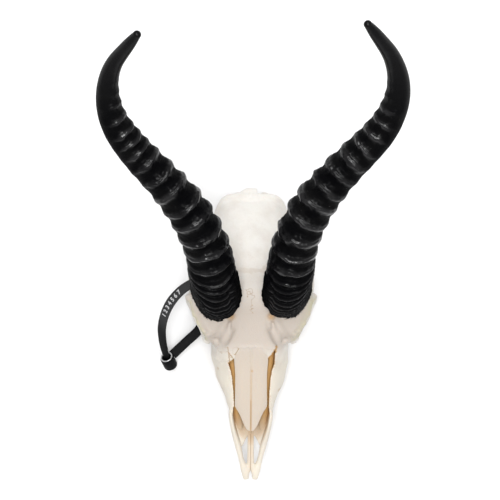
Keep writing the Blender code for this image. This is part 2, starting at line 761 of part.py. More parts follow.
def bones():
    """The blended bone, parted with thin cuts into the bones that a person would name."""
    whole = blended_bone()
    low, high = CHEEK_BOX
    made = []
    for word, side in SIDES.items():
        near, far = sorted((side * low[0], side * high[0]))
        cheek = copy_of(whole, "zygomatic_" + word)
        made.append(combined(cheek, "INTERSECT", [
            block("cheek_box", (near, low[1], low[2]), (far, high[1], high[2])),
        ]))
    boxes = []
    for side in SIDES.values():
        near, far = sorted((side * (low[0] - GAP), side * high[0]))
        boxes.append(block(
            "cheek_space", (near, low[1] - GAP, low[2] - GAP), (far, high[1] + GAP, high[2] + GAP)
        ))
    combined(whole, "DIFFERENCE", boxes)
    start, end = (-200.0, -200.0), (90.0, 90.0)
    for name, front, back in (
        ("frontal", FACE_END, FOREHEAD_END),
        ("braincase", FOREHEAD_END, OCCIPUT_START),
        ("occiput", OCCIPUT_START, end),
    ):
        made.append(combined(copy_of(whole, name), "INTERSECT", [slab("space", front, back)]))
    for word, side in SIDES.items():
        x_low, x_high = sorted((side * GAP / 2, side * 70))
        made.append(combined(copy_of(whole, "maxilla_" + word), "INTERSECT", [
            slab("space", start, FACE_END, x_low, x_high)
        ]))
    drop([whole])
    floor = [
        block("floor", (-90, -200, -30), (90, 90, 0)) for _ in made
    ]
    return [
        largest_surface(combined(bone, "DIFFERENCE", [below])) for bone, below in zip(made, floor)
    ]


def tooth_row(word, side):
    first, *others = teeth(side)
    first.name = "cheek_teeth_" + word
    return combined(first, "UNION", others)


def material(name, colour, roughness):
    made = bpy.data.materials.new(name)
    made.use_nodes = True
    shader = made.node_tree.nodes["Principled BSDF"]
    shader.inputs["Base Color"].default_value = (*colour, 1)
    shader.inputs["Roughness"].default_value = roughness
    shader.inputs["Metallic"].default_value = 0.0
    return made


def finish(obj, look):
    obj.data.materials.clear()
    obj.data.materials.append(look)
    obj.data.shade_smooth()
    obj.data.set_sharp_from_angle(angle=math.radians(40))


def main():
    clear_scene()
    bone_look = material("bone", (0.83, 0.79, 0.71), 0.6)
    tooth_look = material("tooth", (0.78, 0.72, 0.6), 0.35)
    horn_look = material("horn", (0.012, 0.012, 0.013), 0.45)
    plastic_look = material("tag_plastic", (0.02, 0.02, 0.022), 0.4)
    eyelet_look = material("tag_eyelet", (0.6, 0.6, 0.6), 0.35)
    for bone in bones():
        finish(bone, bone_look)
    for word, side in SIDES.items():
        finish(tooth_row(word, side), tooth_look)
        finish(nasal("nasal_" + word, side), bone_look)
        finish(premaxilla("premaxilla_" + word, side), bone_look)
        finish(horn("horn_" + word, *HORNS[word]), horn_look)
    finish(tag(), plastic_look)
    finish(eyelet(), eyelet_look)


main()
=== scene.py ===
import math

import bmesh
import bpy
import numpy as np
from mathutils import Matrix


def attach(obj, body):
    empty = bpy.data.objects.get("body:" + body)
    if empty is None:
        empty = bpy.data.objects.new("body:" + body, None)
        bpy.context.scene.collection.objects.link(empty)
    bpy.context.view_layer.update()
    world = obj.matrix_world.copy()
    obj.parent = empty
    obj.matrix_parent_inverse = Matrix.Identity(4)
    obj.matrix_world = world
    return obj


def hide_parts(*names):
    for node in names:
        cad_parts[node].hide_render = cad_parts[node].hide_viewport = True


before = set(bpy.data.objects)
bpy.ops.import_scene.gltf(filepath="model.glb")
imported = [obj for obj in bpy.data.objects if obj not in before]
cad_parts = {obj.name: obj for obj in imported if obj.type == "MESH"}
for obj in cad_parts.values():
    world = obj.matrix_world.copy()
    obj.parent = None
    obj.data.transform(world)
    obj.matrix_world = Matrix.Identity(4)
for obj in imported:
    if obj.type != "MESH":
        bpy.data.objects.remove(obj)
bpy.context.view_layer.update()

import openvdb as vdb
from mathutils import Matrix, Vector

# A springbok skull with its horn sheaths and a sealed strap tag, seen from straight above.
# Tables are in millimetres: x from the midline, heights above the floor, muzzle towards -y.
# tableZero is where their zero stands in the frame.

mm = 0.001
tableZero = Vector((-0.9, 17.2, 0.0))
sides = {"left": 1, "right": -1}


# small tools

def linked(name, data):
    made = bpy.data.objects.new(name, data)
    bpy.context.scene.collection.objects.link(made)
    return made


def inFrame(point):
    # table millimetres to the frame's metres
    return (Vector(point) + tableZero) * mm


def onSide(side, point):
    # points are given for the left side, 1, and mirrored for the right, -1
    return Vector((side * point[0], point[1], point[2]))


def faceOutwards(mesh):
    form = bmesh.new()
    form.from_mesh(mesh)
    bmesh.ops.recalc_face_normals(form, faces=form.faces)
    form.to_mesh(mesh)
    form.free()


def shapeFrom(name, points, faces):
    mesh = bpy.data.meshes.new(name)
    mesh.from_pydata([inFrame(p) for p in points], [], faces)
    faceOutwards(mesh)
    return linked(name, mesh)


def rowsOf(mesh, key):
    found = np.empty(len(mesh.vertices) * 3)
    mesh.vertices.foreach_get(key, found)
    return found.reshape(-1, 3)


def tablePoints(mesh):
    return rowsOf(mesh, "co") / mm - np.array(tableZero)


def movePoints(mesh, points):
    mesh.vertices.foreach_set("co", ((points + np.array(tableZero)) * mm).ravel())
    mesh.update()


def storeValues(mesh, name, values):
    kept = mesh.attributes.new(name, "FLOAT", "POINT")
    kept.data.foreach_set("value", np.asarray(values, np.float32))


def lineAt(table, x):
    # the value at x of straight lines between (position, value) pairs
    return np.interp(x, *zip(*table))


def valueAt(table, t):
    # a smooth value from (position, value) pairs
    t = min(max(t, table[0][0]), table[-1][0])
    for k in range(len(table) - 1):
        if t <= table[k + 1][0]:
            break
    (t0, v0), (t1, v1) = table[k], table[k + 1]
    slopes = []
    for j in (k, k + 1):
        low, high = table[max(j - 1, 0)], table[min(j + 1, len(table) - 1)]
        slopes.append((high[1] - low[1]) / (high[0] - low[0]))
    span = t1 - t0
    u = (t - t0) / span
    return (
        (2 * u**3 - 3 * u**2 + 1) * v0
        + (u**3 - 2 * u**2 + u) * span * slopes[0]
        + (3 * u**2 - 2 * u**3) * v1
        + (u**3 - u**2) * span * slopes[1]
    )


def eased(u):
    u = min(max(u, 0.0), 1.0)
    return u * u * (3 - 2 * u)


def fadeIn(at, start, span):
    # from 0 at the start to 1 after the span
    return eased((at - start) / span)


def fadeOut(at, end, span):
    # from 1 before the span to 0 at the end
    return eased((end - at) / span)


def between(before, start, end, after, u):
    return 0.5 * (
        2 * start
        + (end - before) * u
        + (2 * before - 5 * start + 4 * end - after) * u**2
        + (3 * start - before - 3 * end + after) * u**3
    )


def smoothLoop(points, steps):
    count = len(points)
    return [
        between(*(points[(k + j) % count] for j in (-1, 0, 1, 2)), step / steps)
        for k in range(count)
        for step in range(steps)
    ]


def smoothRoute(points, steps):
    last = len(points) - 1
    route = [
        between(*(points[min(max(k + j, 0), last)] for j in (-1, 0, 1, 2)), step / steps)
        for k in range(last)
        for step in range(steps)
    ]
    return route + [points[-1]]


def directions(route):
    last = len(route) - 1
    return [(route[min(k + 1, last)] - route[max(k - 1, 0)]).normalized() for k in range(last + 1)]


def crossways(along):
    # two ways at right angles to this one and to each other
    along = along.normalized()
    across = along.orthogonal().normalized()
    return across, along.cross(across)


def turnsRound(count):
    return [math.tau * i / count for i in range(count)]


def circleAt(middle, across, rise, radius, count):
    return [middle + radius * (across * math.cos(t) + rise * math.sin(t)) for t in turnsRound(count)]


def ovalAt(middle, across, rise, wide, tall, count):
    return [
        middle + across * (wide * math.cos(t)) + rise * (tall * math.sin(t)) for t in turnsRound(count)
    ]


def loft(name, rings, closed=False):
    # a form through rings of equal length, with two flat ends or closed on itself
    count = len(rings[0])
    total = len(rings) * count
    faces = [
        (r + i, r + (i + 1) % count, (r + count) % total + (i + 1) % count, (r + count) % total + i)
        for r in range(0, total if closed else total - count, count)
        for i in range(count)
    ]
    if not closed:
        faces += [tuple(range(count)), tuple(range(total - count, total))]
    return shapeFrom(name, [p for ring in rings for p in ring], faces)


def bodyLoft(name, rows):
    # a form alike on both sides, from rows of y, crown z, three x and z pairs, floor z
    rings = []
    for y, crown, *half, floor in rows:
        right = [Vector((half[i], y, half[i + 1])) for i in (0, 2, 4)]
        left = [Vector((-p.x, p.y, p.z)) for p in reversed(right)]
        outline = [Vector((0, y, crown)), *right, Vector((0, y, floor)), *left]
        rings.append(smoothLoop(outline, 5))
    return loft(name, list(zip(*(smoothRoute(line, 4) for line in zip(*rings)))))


def tube(name, side, stations, up=(0, 0, 1), around=24, steps=6):
    # stations are x y z, half width, half height
    route = smoothRoute([onSide(side, station) for station in stations], steps)
    sizes = smoothRoute([Vector(station[3:]) for station in stations], steps)
    up, rings = onSide(side, up), []
    for centre, along, size in zip(route, directions(route), sizes):
        across = along.cross(up).normalized()
        rings.append(ovalAt(centre, across, across.cross(along), *size, around))
    return loft(name, rings)


def egg(name, side, centre, radii, turn=(0, 0, 0)):
    form = bmesh.new()
    bmesh.ops.create_icosphere(form, subdivisions=4, radius=1)
    spin = Matrix.Identity(3)
    for axis, degrees in zip("XYZ", (turn[0], side * turn[1], side * turn[2])):
        spin = Matrix.Rotation(math.radians(degrees), 3, axis) @ spin
    middle = onSide(side, centre)
    points = [middle + spin @ Vector([c * r for c, r in zip(v.co, radii)]) for v in form.verts]
    faces = [tuple(v.index for v in f.verts) for f in form.faces]
    form.free()
    return shapeFrom(name, points, faces)


def planBlock(name, outline, low, high):
    return loft(name, [[Vector((x, y, z)) for x, y in outline] for z in (low, high)])


def rod(name, side, start, end, radius, around=24):
    start, end = onSide(side, start), onSide(side, end)
    across, rise = crossways(end - start)
    return loft(name, [circleAt(middle, across, rise, radius, around) for middle in (start, end)])


def meshOf(piece):
    # the mesh that a piece's modifiers or its text give
    bpy.context.view_layer.update()
    graph = bpy.context.evaluated_depsgraph_get()
    return bpy.data.meshes.new_from_object(piece.evaluated_get(graph))


def withModifiersApplied(piece):
    mesh = meshOf(piece)
    piece.modifiers.clear()
    piece.data = mesh
    return piece


def joined(name, pieces):
    form = bmesh.new()
    for piece in pieces:
        form.from_mesh(piece.data)
        bpy.data.objects.remove(piece)
    mesh = bpy.data.meshes.new(name)
    form.to_mesh(mesh)
    form.free()
    return linked(name, mesh)


def cutBy(piece, cutter):
    cut = piece.modifiers.new("cut", "BOOLEAN")
    cut.operation = "DIFFERENCE"
    cut.solver = "EXACT"
    cut.object = cutter
    withModifiersApplied(piece)
    bpy.data.objects.remove(cutter)
    return piece


def keepLargest(piece):
    form = bmesh.new()
    form.from_mesh(piece.data)
    left, surfaces = set(form.verts), []
    while left:
        reached, edge = set(), [left.pop()]
        while edge:
            point = edge.pop()
            reached.add(point)
            for link in point.link_edges:
                other = link.other_vert(point)
                if other in left:
                    left.discard(other)
                    edge.append(other)
        surfaces.append(reached)
    surfaces.sort(key=len)
    loose = [v for surface in surfaces[:-1] for v in surface]
    bmesh.ops.delete(form, geom=loose, context="VERTS")
    form.to_mesh(piece.data)
    form.free()
    return piece


# clay: forms that melt into each other

def softest(first, second, blend):
    # the lower of two distances, rounded where they meet
    share = np.maximum(blend - np.abs(first - second), 0) / blend
    return np.minimum(first, second) - share * share * blend / 4


class Clay:
    # a block of space that holds the distance to a surface, negative inside it

    def __init__(self, low, high, grain, reach=9):
        self.grain, self.reach = grain, reach
        self.first = np.floor(np.array(low) / grain).astype(int)
        self.last = np.ceil(np.array(high) / grain).astype(int)
        self.far = grain * reach
        self.field = np.full(self.last - self.first + 1, self.far, np.float32)
        self.spacing = vdb.createLinearTransform(voxelSize=grain)

    def stamp(self, piece):
        # the distances to a closed mesh, where they are in the block; the mesh is used up
        points = tablePoints(piece.data)
        piece.data.calc_loop_triangles()
        corners = np.empty(len(piece.data.loop_triangles) * 3, np.int32)
        piece.data.loop_triangles.foreach_get("vertices", corners)
        grid = vdb.FloatGrid.createLevelSetFromPolygons(
            points.astype(np.float32), triangles=corners.reshape(-1, 3).astype(np.uint32),
            transform=self.spacing, halfWidth=self.reach,
        )
        bpy.data.objects.remove(piece)
        low = np.floor(points.min(axis=0) / self.grain).astype(int) - self.reach
        high = np.ceil(points.max(axis=0) / self.grain).astype(int) + self.reach
        low, high = np.maximum(low, self.first), np.minimum(high, self.last)
        block = np.empty(high - low + 1, np.float32)
        grid.copyToArray(block, ijk=tuple(int(n) for n in low))
        return block, tuple(slice(a, b + 1) for a, b in zip(low - self.first, high - self.first))
    def merge(self, piece, blend, sign):
        block, window = self.stamp(piece)
        there = self.field[window]
        near = block < self.far - 0.01
        self.field[window] = np.where(near, sign * softest(sign * there, block, blend), there)

    def add(self, piece, blend=3.0):
        self.merge(piece, blend, 1)

    def carve(self, piece, blend=1.2):
        self.merge(piece, blend, -1)

    def place(self, points):
        # the block's indexes of table points, with fractions
        return points / self.grain - self.first

    def at(self, points, values=None):
        # the distance, or other values of the block, at table points
        values = self.field if values is None else values
        spot = np.clip(self.place(points), 0, np.array(values.shape) - 1.001)
        low = spot.astype(int)
        share = spot - low
        found = 0
        for corner in np.ndindex(2, 2, 2):
            weight = np.prod(np.where(corner, share, 1 - share), axis=1)
            found = found + weight * values[tuple((low + corner).T)]
        return found

    def topAt(self, x, y):
        # the height of the surface that a plumb line from above meets
        column = np.arange(self.last[2], self.first[2], -0.5) * self.grain
        line = np.column_stack([np.full(len(column), x), np.full(len(column), y), column])
        values = self.at(line)
        k = int(np.argmax(values < 0))
        return float(np.interp(0, [values[k], values[k - 1]], [column[k], column[k - 1]]))

    def surface(self, name):
        grid = vdb.FloatGrid(self.far)
        grid.copyFromArray(self.field, ijk=tuple(int(n) for n in self.first))
        grid.transform = self.spacing
        points, quads = grid.convertToQuads(isovalue=0.0)
        return shapeFrom(name, points.tolist(), quads.tolist())


def finished(piece, look, nodes, sharpAngle=35):
    piece.data.materials.clear()
    piece.data.materials.append(look)
    piece.data.shade_smooth()
    if sharpAngle:
        piece.data.set_sharp_from_angle(angle=math.radians(sharpAngle))
    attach(piece, "root")
    if nodes:
        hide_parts(*nodes)
    return piece


# camera, floor and lights

studio = {
    "cameraHeight": 1100.0,
    "viewWidth": 375.0,  # what the picture spans at focusHeight
    "focusHeight": 50.0,
    "viewCentre": (-0.9, 1.95),  # table x and y
    "sensorWidth": 36.0,
    "floorSize": 5000.0,
    "floorHeights": (-8.0, -0.2),
    "floorColour": (0.88, 0.88, 0.885, 1),
    "lights": {  # where each stands, how wide it is, its power
        "keyLight": ((-150.0, 900.0, 1750.0), 700.0, 13.5),
        "topLight": ((-100.0, 0.0, 2000.0), 500.0, 17.5),
        "frontLight": ((350.0, -400.0, 1700.0), 900.0, 7.5),
    },
    "skyStrength": 0.6,
}


def setUpStudio():
    scene = bpy.context.scene
    scene.view_settings.view_transform = "Standard"
    lens = bpy.data.cameras.new("camera")
    lens.sensor_width = studio["sensorWidth"]
    distance = studio["cameraHeight"] - studio["focusHeight"]
    lens.lens = studio["sensorWidth"] * distance / studio["viewWidth"]
    lens.clip_end = 20  # metres
    camera = linked("camera", lens)
    camera.location = inFrame((*studio["viewCentre"], studio["cameraHeight"]))
    scene.camera = camera

    half = studio["floorSize"] / 2
    corners = [(-half, -half), (half, -half), (half, half), (-half, half)]
    floor = planBlock("floor", corners, *studio["floorHeights"])
    paper, _, _ = newLook("paperWhite", Base_Color=studio["floorColour"], Roughness=0.9)
    floor.data.materials.append(paper)

    for name, (place, wide, power) in studio["lights"].items():
        light = bpy.data.lights.new(name, "AREA")
        light.size = wide * mm
        light.energy = power
        lamp = linked(name, light)
        lamp.location = Vector(place) * mm
        lamp.rotation_euler = (-lamp.location).to_track_quat("-Z", "Y").to_euler()

    world = bpy.data.worlds.new("sky")
    world.use_nodes = True
    sky = world.node_tree.nodes["Background"]
    sky.inputs["Color"].default_value = (1.0, 1.0, 1.0, 1)
    sky.inputs["Strength"].default_value = studio["skyStrength"]
    scene.world = world


# node trees

def feed(tree, socket, value):
    # links the socket to another one, or sets a plain value on it
    if isinstance(value, bpy.types.NodeSocket):
        tree.links.new(value, socket)
    else:
        socket.default_value = value


def addNode(tree, kind, *values, **settings):
    # settings go to the property or input of that name, values to the inputs in order
    node = tree.nodes.new(kind)
    for name, value in settings.items():
        if name in node.bl_rna.properties:
            setattr(node, name, value)
        else:
            feed(tree, node.inputs[name.replace("_", " ")], value)
    for socket, value in zip(node.inputs, values):
        feed(tree, socket, value)
    return node


def newTree(name, kind, inputs, outputs):
    # an input has its first value beside it, or its kind where it isn't a number
    tree = bpy.data.node_groups.new(name, kind)
    for title, value in inputs.items():
        sort = value if isinstance(value, str) else "Vector" if isinstance(value, tuple) else "Float"
        socket = tree.interface.new_socket(title, in_out="INPUT", socket_type="NodeSocket" + sort)
        if sort != value:
            socket.default_value = value
    for title, sort in outputs.items():
        tree.interface.new_socket(title, in_out="OUTPUT", socket_type="NodeSocket" + sort)
    return tree, tree.nodes.new("NodeGroupInput").outputs, tree.nodes.new("NodeGroupOutput").inputs


def maths(tree, operation, *values):
    return addNode(tree, "ShaderNodeMath", *values, operation=operation).outputs[0]


def times(tree, first, second):
    return maths(tree, "MULTIPLY", first, second)


def ranged(tree, value, low, high, outLow=0.0, outHigh=1.0, kind="SMOOTHSTEP"):
    values = (value, low, high, outLow, outHigh)
    return addNode(tree, "ShaderNodeMapRange", *values, interpolation_type=kind).outputs[0]


def noise(tree, **settings):
    return addNode(tree, "ShaderNodeTexNoise", **settings).outputs["Fac"]


def ownPlace(tree):
    return addNode(tree, "ShaderNodeTexCoord").outputs["Object"]


def stored(tree, name):
    return addNode(tree, "ShaderNodeAttribute", attribute_name=name).outputs["Fac"]


def mixed(tree, factor, first, second):
    # colour mix: each of the three is a socket or a value
    node = addNode(tree, "ShaderNodeMix", data_type="RGBA")
    for index, value in ((0, factor), (6, first), (7, second)):
        feed(tree, node.inputs[index], value)
    return node.outputs[2]


def makeGrainGroup():
    # cloudy tone, fine pores and a height for bumps
    group, given, gives = newTree(
        "grain", "ShaderNodeTree",
        {"Cloud Scale": 40.0, "Pore Scale": 900.0, "Stretch": (1.0, 1.0, 1.0)},
        {"Cloud": "Float", "Pores": "Float", "Height": "Float"},
    )
    stretched = addNode(
        group, "ShaderNodeVectorMath", ownPlace(group), given["Stretch"], operation="MULTIPLY",
    ).outputs[0]
    cloud = noise(group, Vector=stretched, Scale=given["Cloud Scale"], Detail=5.0, Roughness=0.6)
    pores = noise(group, Vector=stretched, Scale=given["Pore Scale"], Detail=3.0, Roughness=0.65)
    pits = ranged(group, pores, 0.3, 0.6, kind="LINEAR")
    feed(group, gives["Cloud"], cloud)
    feed(group, gives["Pores"], pits)
    feed(group, gives["Height"], maths(group, "ADD", cloud, pits))
    return group


def makeSeamGroup():
    # a thin wandering line where a stored distance, in millimetres, passes zero
    group, given, gives = newTree(
        "seamLine", "ShaderNodeTree",
        {"Distance": 9.0, "Width": 0.3, "Wander": 1.0, "Wander Scale": 300.0}, {"Line": "Float"},
    )
    wave = noise(group, Vector=ownPlace(group), Scale=given["Wander Scale"], Detail=2.5)
    aside = times(group, maths(group, "SUBTRACT", wave, 0.5), given["Wander"])
    far = maths(group, "ABSOLUTE", maths(group, "ADD", given["Distance"], aside))
    widths = maths(group, "DIVIDE", far, given["Width"])
    feed(group, gives["Line"], ranged(group, widths, 0.4, 1.3, 1.0, 0.0))
    return group


def placeGroup(tree, group, **values):
    return addNode(tree, "ShaderNodeGroup", node_tree=group, **values).outputs


# materials

def newLook(name, **values):
    look = bpy.data.materials.new(name)
    look.use_nodes = True
    shader = look.node_tree.nodes["Principled BSDF"]
    for socket, value in values.items():
        shader.inputs[socket.replace("_", " ")].default_value = value
    return look, look.node_tree, shader


def bumped(tree, shader, heights, strength, distance):
    bump = addNode(tree, "ShaderNodeBump", Strength=strength, Distance=distance, Height=heights)
    feed(tree, shader.inputs["Normal"], bump.outputs["Normal"])


boneColours = {
    "pale": (0.72, 0.70, 0.66, 1),
    "warm": (0.51, 0.45, 0.395, 1),
    "nasal": (0.555, 0.48, 0.40, 1),
    "cream": (0.705, 0.65, 0.555, 1),
    "thinEdge": (0.50, 0.475, 0.32, 1),
    "dirtAndShade": (0.34, 0.23, 0.12, 1),
    "noseLining": (0.46, 0.265, 0.095, 1),
    "seam": (0.36, 0.25, 0.15, 1),
    "pore": (0.40, 0.32, 0.24, 1),
}
boneSeams = [  # stored distance, width, wander, its scale, strength
    ("seamMiddle", 0.5, 15.0, 240.0, 0.6),
    ("seamCrown", 1.8, 9.0, 150.0, 0.2),
    ("seamNose", 0.38, 1.0, 400.0, 0.85),
]


def boneLook(name, ground, mottle):
    # dry bone: warm over the brows, brown in seams, brown in hollows as dirt and painted shade, greenish
    # where it is thin
    look, tree, shader = newLook(
        name, Roughness=0.55, Subsurface_Weight=0.1, Subsurface_Scale=0.003,
        Subsurface_Radius=(1.0, 0.6, 0.35), Specular_IOR_Level=0.3,
    )
    grain = placeGroup(tree, grainGroup, Cloud_Scale=48.0, Pore_Scale=1150.0)
    cloud = ranged(tree, grain["Cloud"], 0.36, 0.68)
    layers = [
        (stored(tree, "creaminess"), "cream"),
        (stored(tree, "warmth"), "warm"),
        (times(tree, cloud, mottle), "warm"),
        (times(tree, stored(tree, "thinness"), ranged(tree, cloud, 0.0, 0.7, 0.45, 1.0)), "thinEdge"),
        (stored(tree, "stain"), "noseLining"),
        # bone crowded round the point turns brown: dirt, and painted shade in hollows
        (ranged(tree, stored(tree, "crowding"), 0.56, 0.86, 0.0, 0.6), "dirtAndShade"),
        (ranged(tree, grain["Pores"], 0.0, 0.5, 0.14, 0.0), "pore"),
    ]
    for seamName, width, wander, scale, strength in boneSeams:
        seam = placeGroup(
            tree, seamGroup, Distance=stored(tree, seamName), Width=width, Wander=wander,
            Wander_Scale=scale,
        )
        layers.append((times(tree, seam["Line"], strength), "seam"))
    tone = ground
    for share, colour in layers:
        tone = mixed(tree, share, tone, boneColours[colour])
    feed(tree, shader.inputs["Base Color"], tone)
    bumped(tree, shader, grain["Height"], 0.25, 0.0005)
    return look


hornColours = {
    "black": (0.0008, 0.0008, 0.0012, 1),
    "dusty": (0.003, 0.0029, 0.003, 1),
    "wearAndSheen": (0.005, 0.0047, 0.0055, 1),
    "scuff": (0.16, 0.155, 0.15, 1),
}


def hornLook():
    # black and dull in the valleys, polished along the rings' edges and towards the tip; the edges also
    # have a lighter colour, part wear and part painted sheen
    look, tree, shader = newLook(
        "hornKeratin", Specular_IOR_Level=0.03, Roughness=0.7, Coat_Roughness=0.21,
    )
    grain = placeGroup(tree, grainGroup, Cloud_Scale=55.0, Pore_Scale=800.0)
    cloud, edge, upHorn = grain["Cloud"], stored(tree, "ringEdge"), stored(tree, "upHorn")
    specks = noise(tree, Vector=ownPlace(tree), Scale=520.0, Detail=3.0, Roughness=0.7)
    # lighter colour along the rings' edges: part wear, part painted sheen
    wearAndSheen = times(tree, ranged(tree, edge, 0.4, 1.0), ranged(tree, cloud, 0.42, 0.6, 0.3, 1.0))
    scuffs = times(tree, ranged(tree, specks, 0.69, 0.75), ranged(tree, cloud, 0.55, 0.66))
    tone = hornColours["black"]
    for share, colour in ((ranged(tree, cloud, 0.4, 0.75), "dusty"), (wearAndSheen, "wearAndSheen"), (scuffs, "scuff")):
        tone = mixed(tree, share, tone, hornColours[colour])
    feed(tree, shader.inputs["Base Color"], tone)
    polish = times(
        tree, ranged(tree, edge, 0.25, 0.95, 0.03, 0.8), ranged(tree, upHorn, 10.0, 60.0, 0.7, 1.0),
    )
    polish = times(tree, polish, ranged(tree, cloud, 0.35, 0.6, 0.35, 1.0))
    polish = maths(tree, "MAXIMUM", polish, ranged(tree, upHorn, 175.0, 235.0, 0.0, 0.3))
    polish = times(tree, polish, ranged(tree, specks, 0.3, 0.6, 0.85, 1.0))
    feed(tree, shader.inputs["Coat Weight"], polish)
    bumped(tree, shader, grain["Height"], 0.3, 0.0005)
    return look


toothColours = {
    "enamel": (0.80, 0.74, 0.62, 1), "yellowed": (0.62, 0.5, 0.34, 1), "stain": (0.13, 0.08, 0.045, 1),
}


def toothLook():
    look, tree, shader = newLook("toothEnamel", Roughness=0.3)
    grain = placeGroup(tree, grainGroup, Cloud_Scale=160.0, Pore_Scale=900.0, Stretch=(1.0, 1.0, 0.35))
    clouds = ranged(tree, grain["Cloud"], 0.35, 0.7)
    enamel = mixed(tree, clouds, toothColours["enamel"], toothColours["yellowed"])
    tone = mixed(tree, stored(tree, "stain"), enamel, toothColours["stain"])
    feed(tree, shader.inputs["Base Color"], tone)
    bumped(tree, shader, grain["Height"], 0.2, 0.0004)
    return look


plasticColours = {
    "black": (0.004, 0.004, 0.0045, 1), "dusty": (0.008, 0.008, 0.0085, 1),
    "paintedSheen": (0.036, 0.036, 0.037, 1),
}


def plasticLook():
    look, tree, shader = newLook("tagPlastic", Specular_IOR_Level=0.07)
    grain = placeGroup(tree, grainGroup, Cloud_Scale=120.0, Pore_Scale=1500.0)
    clouds = ranged(tree, grain["Cloud"], 0.4, 0.7)
    black = mixed(tree, clouds, plasticColours["black"], plasticColours["dusty"])
    height = addNode(tree, "ShaderNodeSeparateXYZ", ownPlace(tree)).outputs["Z"]
    paintedSheen = ranged(tree, height, 0.03, 0.044)  # the raised loop is painted lighter grey, a painted sheen for the light it catches
    tone = mixed(tree, paintedSheen, black, plasticColours["paintedSheen"])
    feed(tree, shader.inputs["Base Color"], tone)
    feed(tree, shader.inputs["Roughness"], ranged(tree, grain["Cloud"], 0.3, 0.7, 0.48, 0.6))
    bumped(tree, shader, grain["Height"], 0.12, 0.0002)
    return look


def simpleLook(name, colour, roughness, metallic=0.0):
    look, tree, shader = newLook(name, Metallic=metallic)
    cloud = placeGroup(tree, grainGroup, Cloud_Scale=300.0, Pore_Scale=2500.0)["Cloud"]
    darker = [c * 0.78 for c in colour]
    tone = mixed(tree, ranged(tree, cloud, 0.35, 0.7), (*colour, 1), (*darker, 1))
    feed(tree, shader.inputs["Base Color"], tone)
    feed(tree, shader.inputs["Roughness"], ranged(tree, cloud, 0.3, 0.7, roughness, roughness + 0.12))
    return look


# the skull

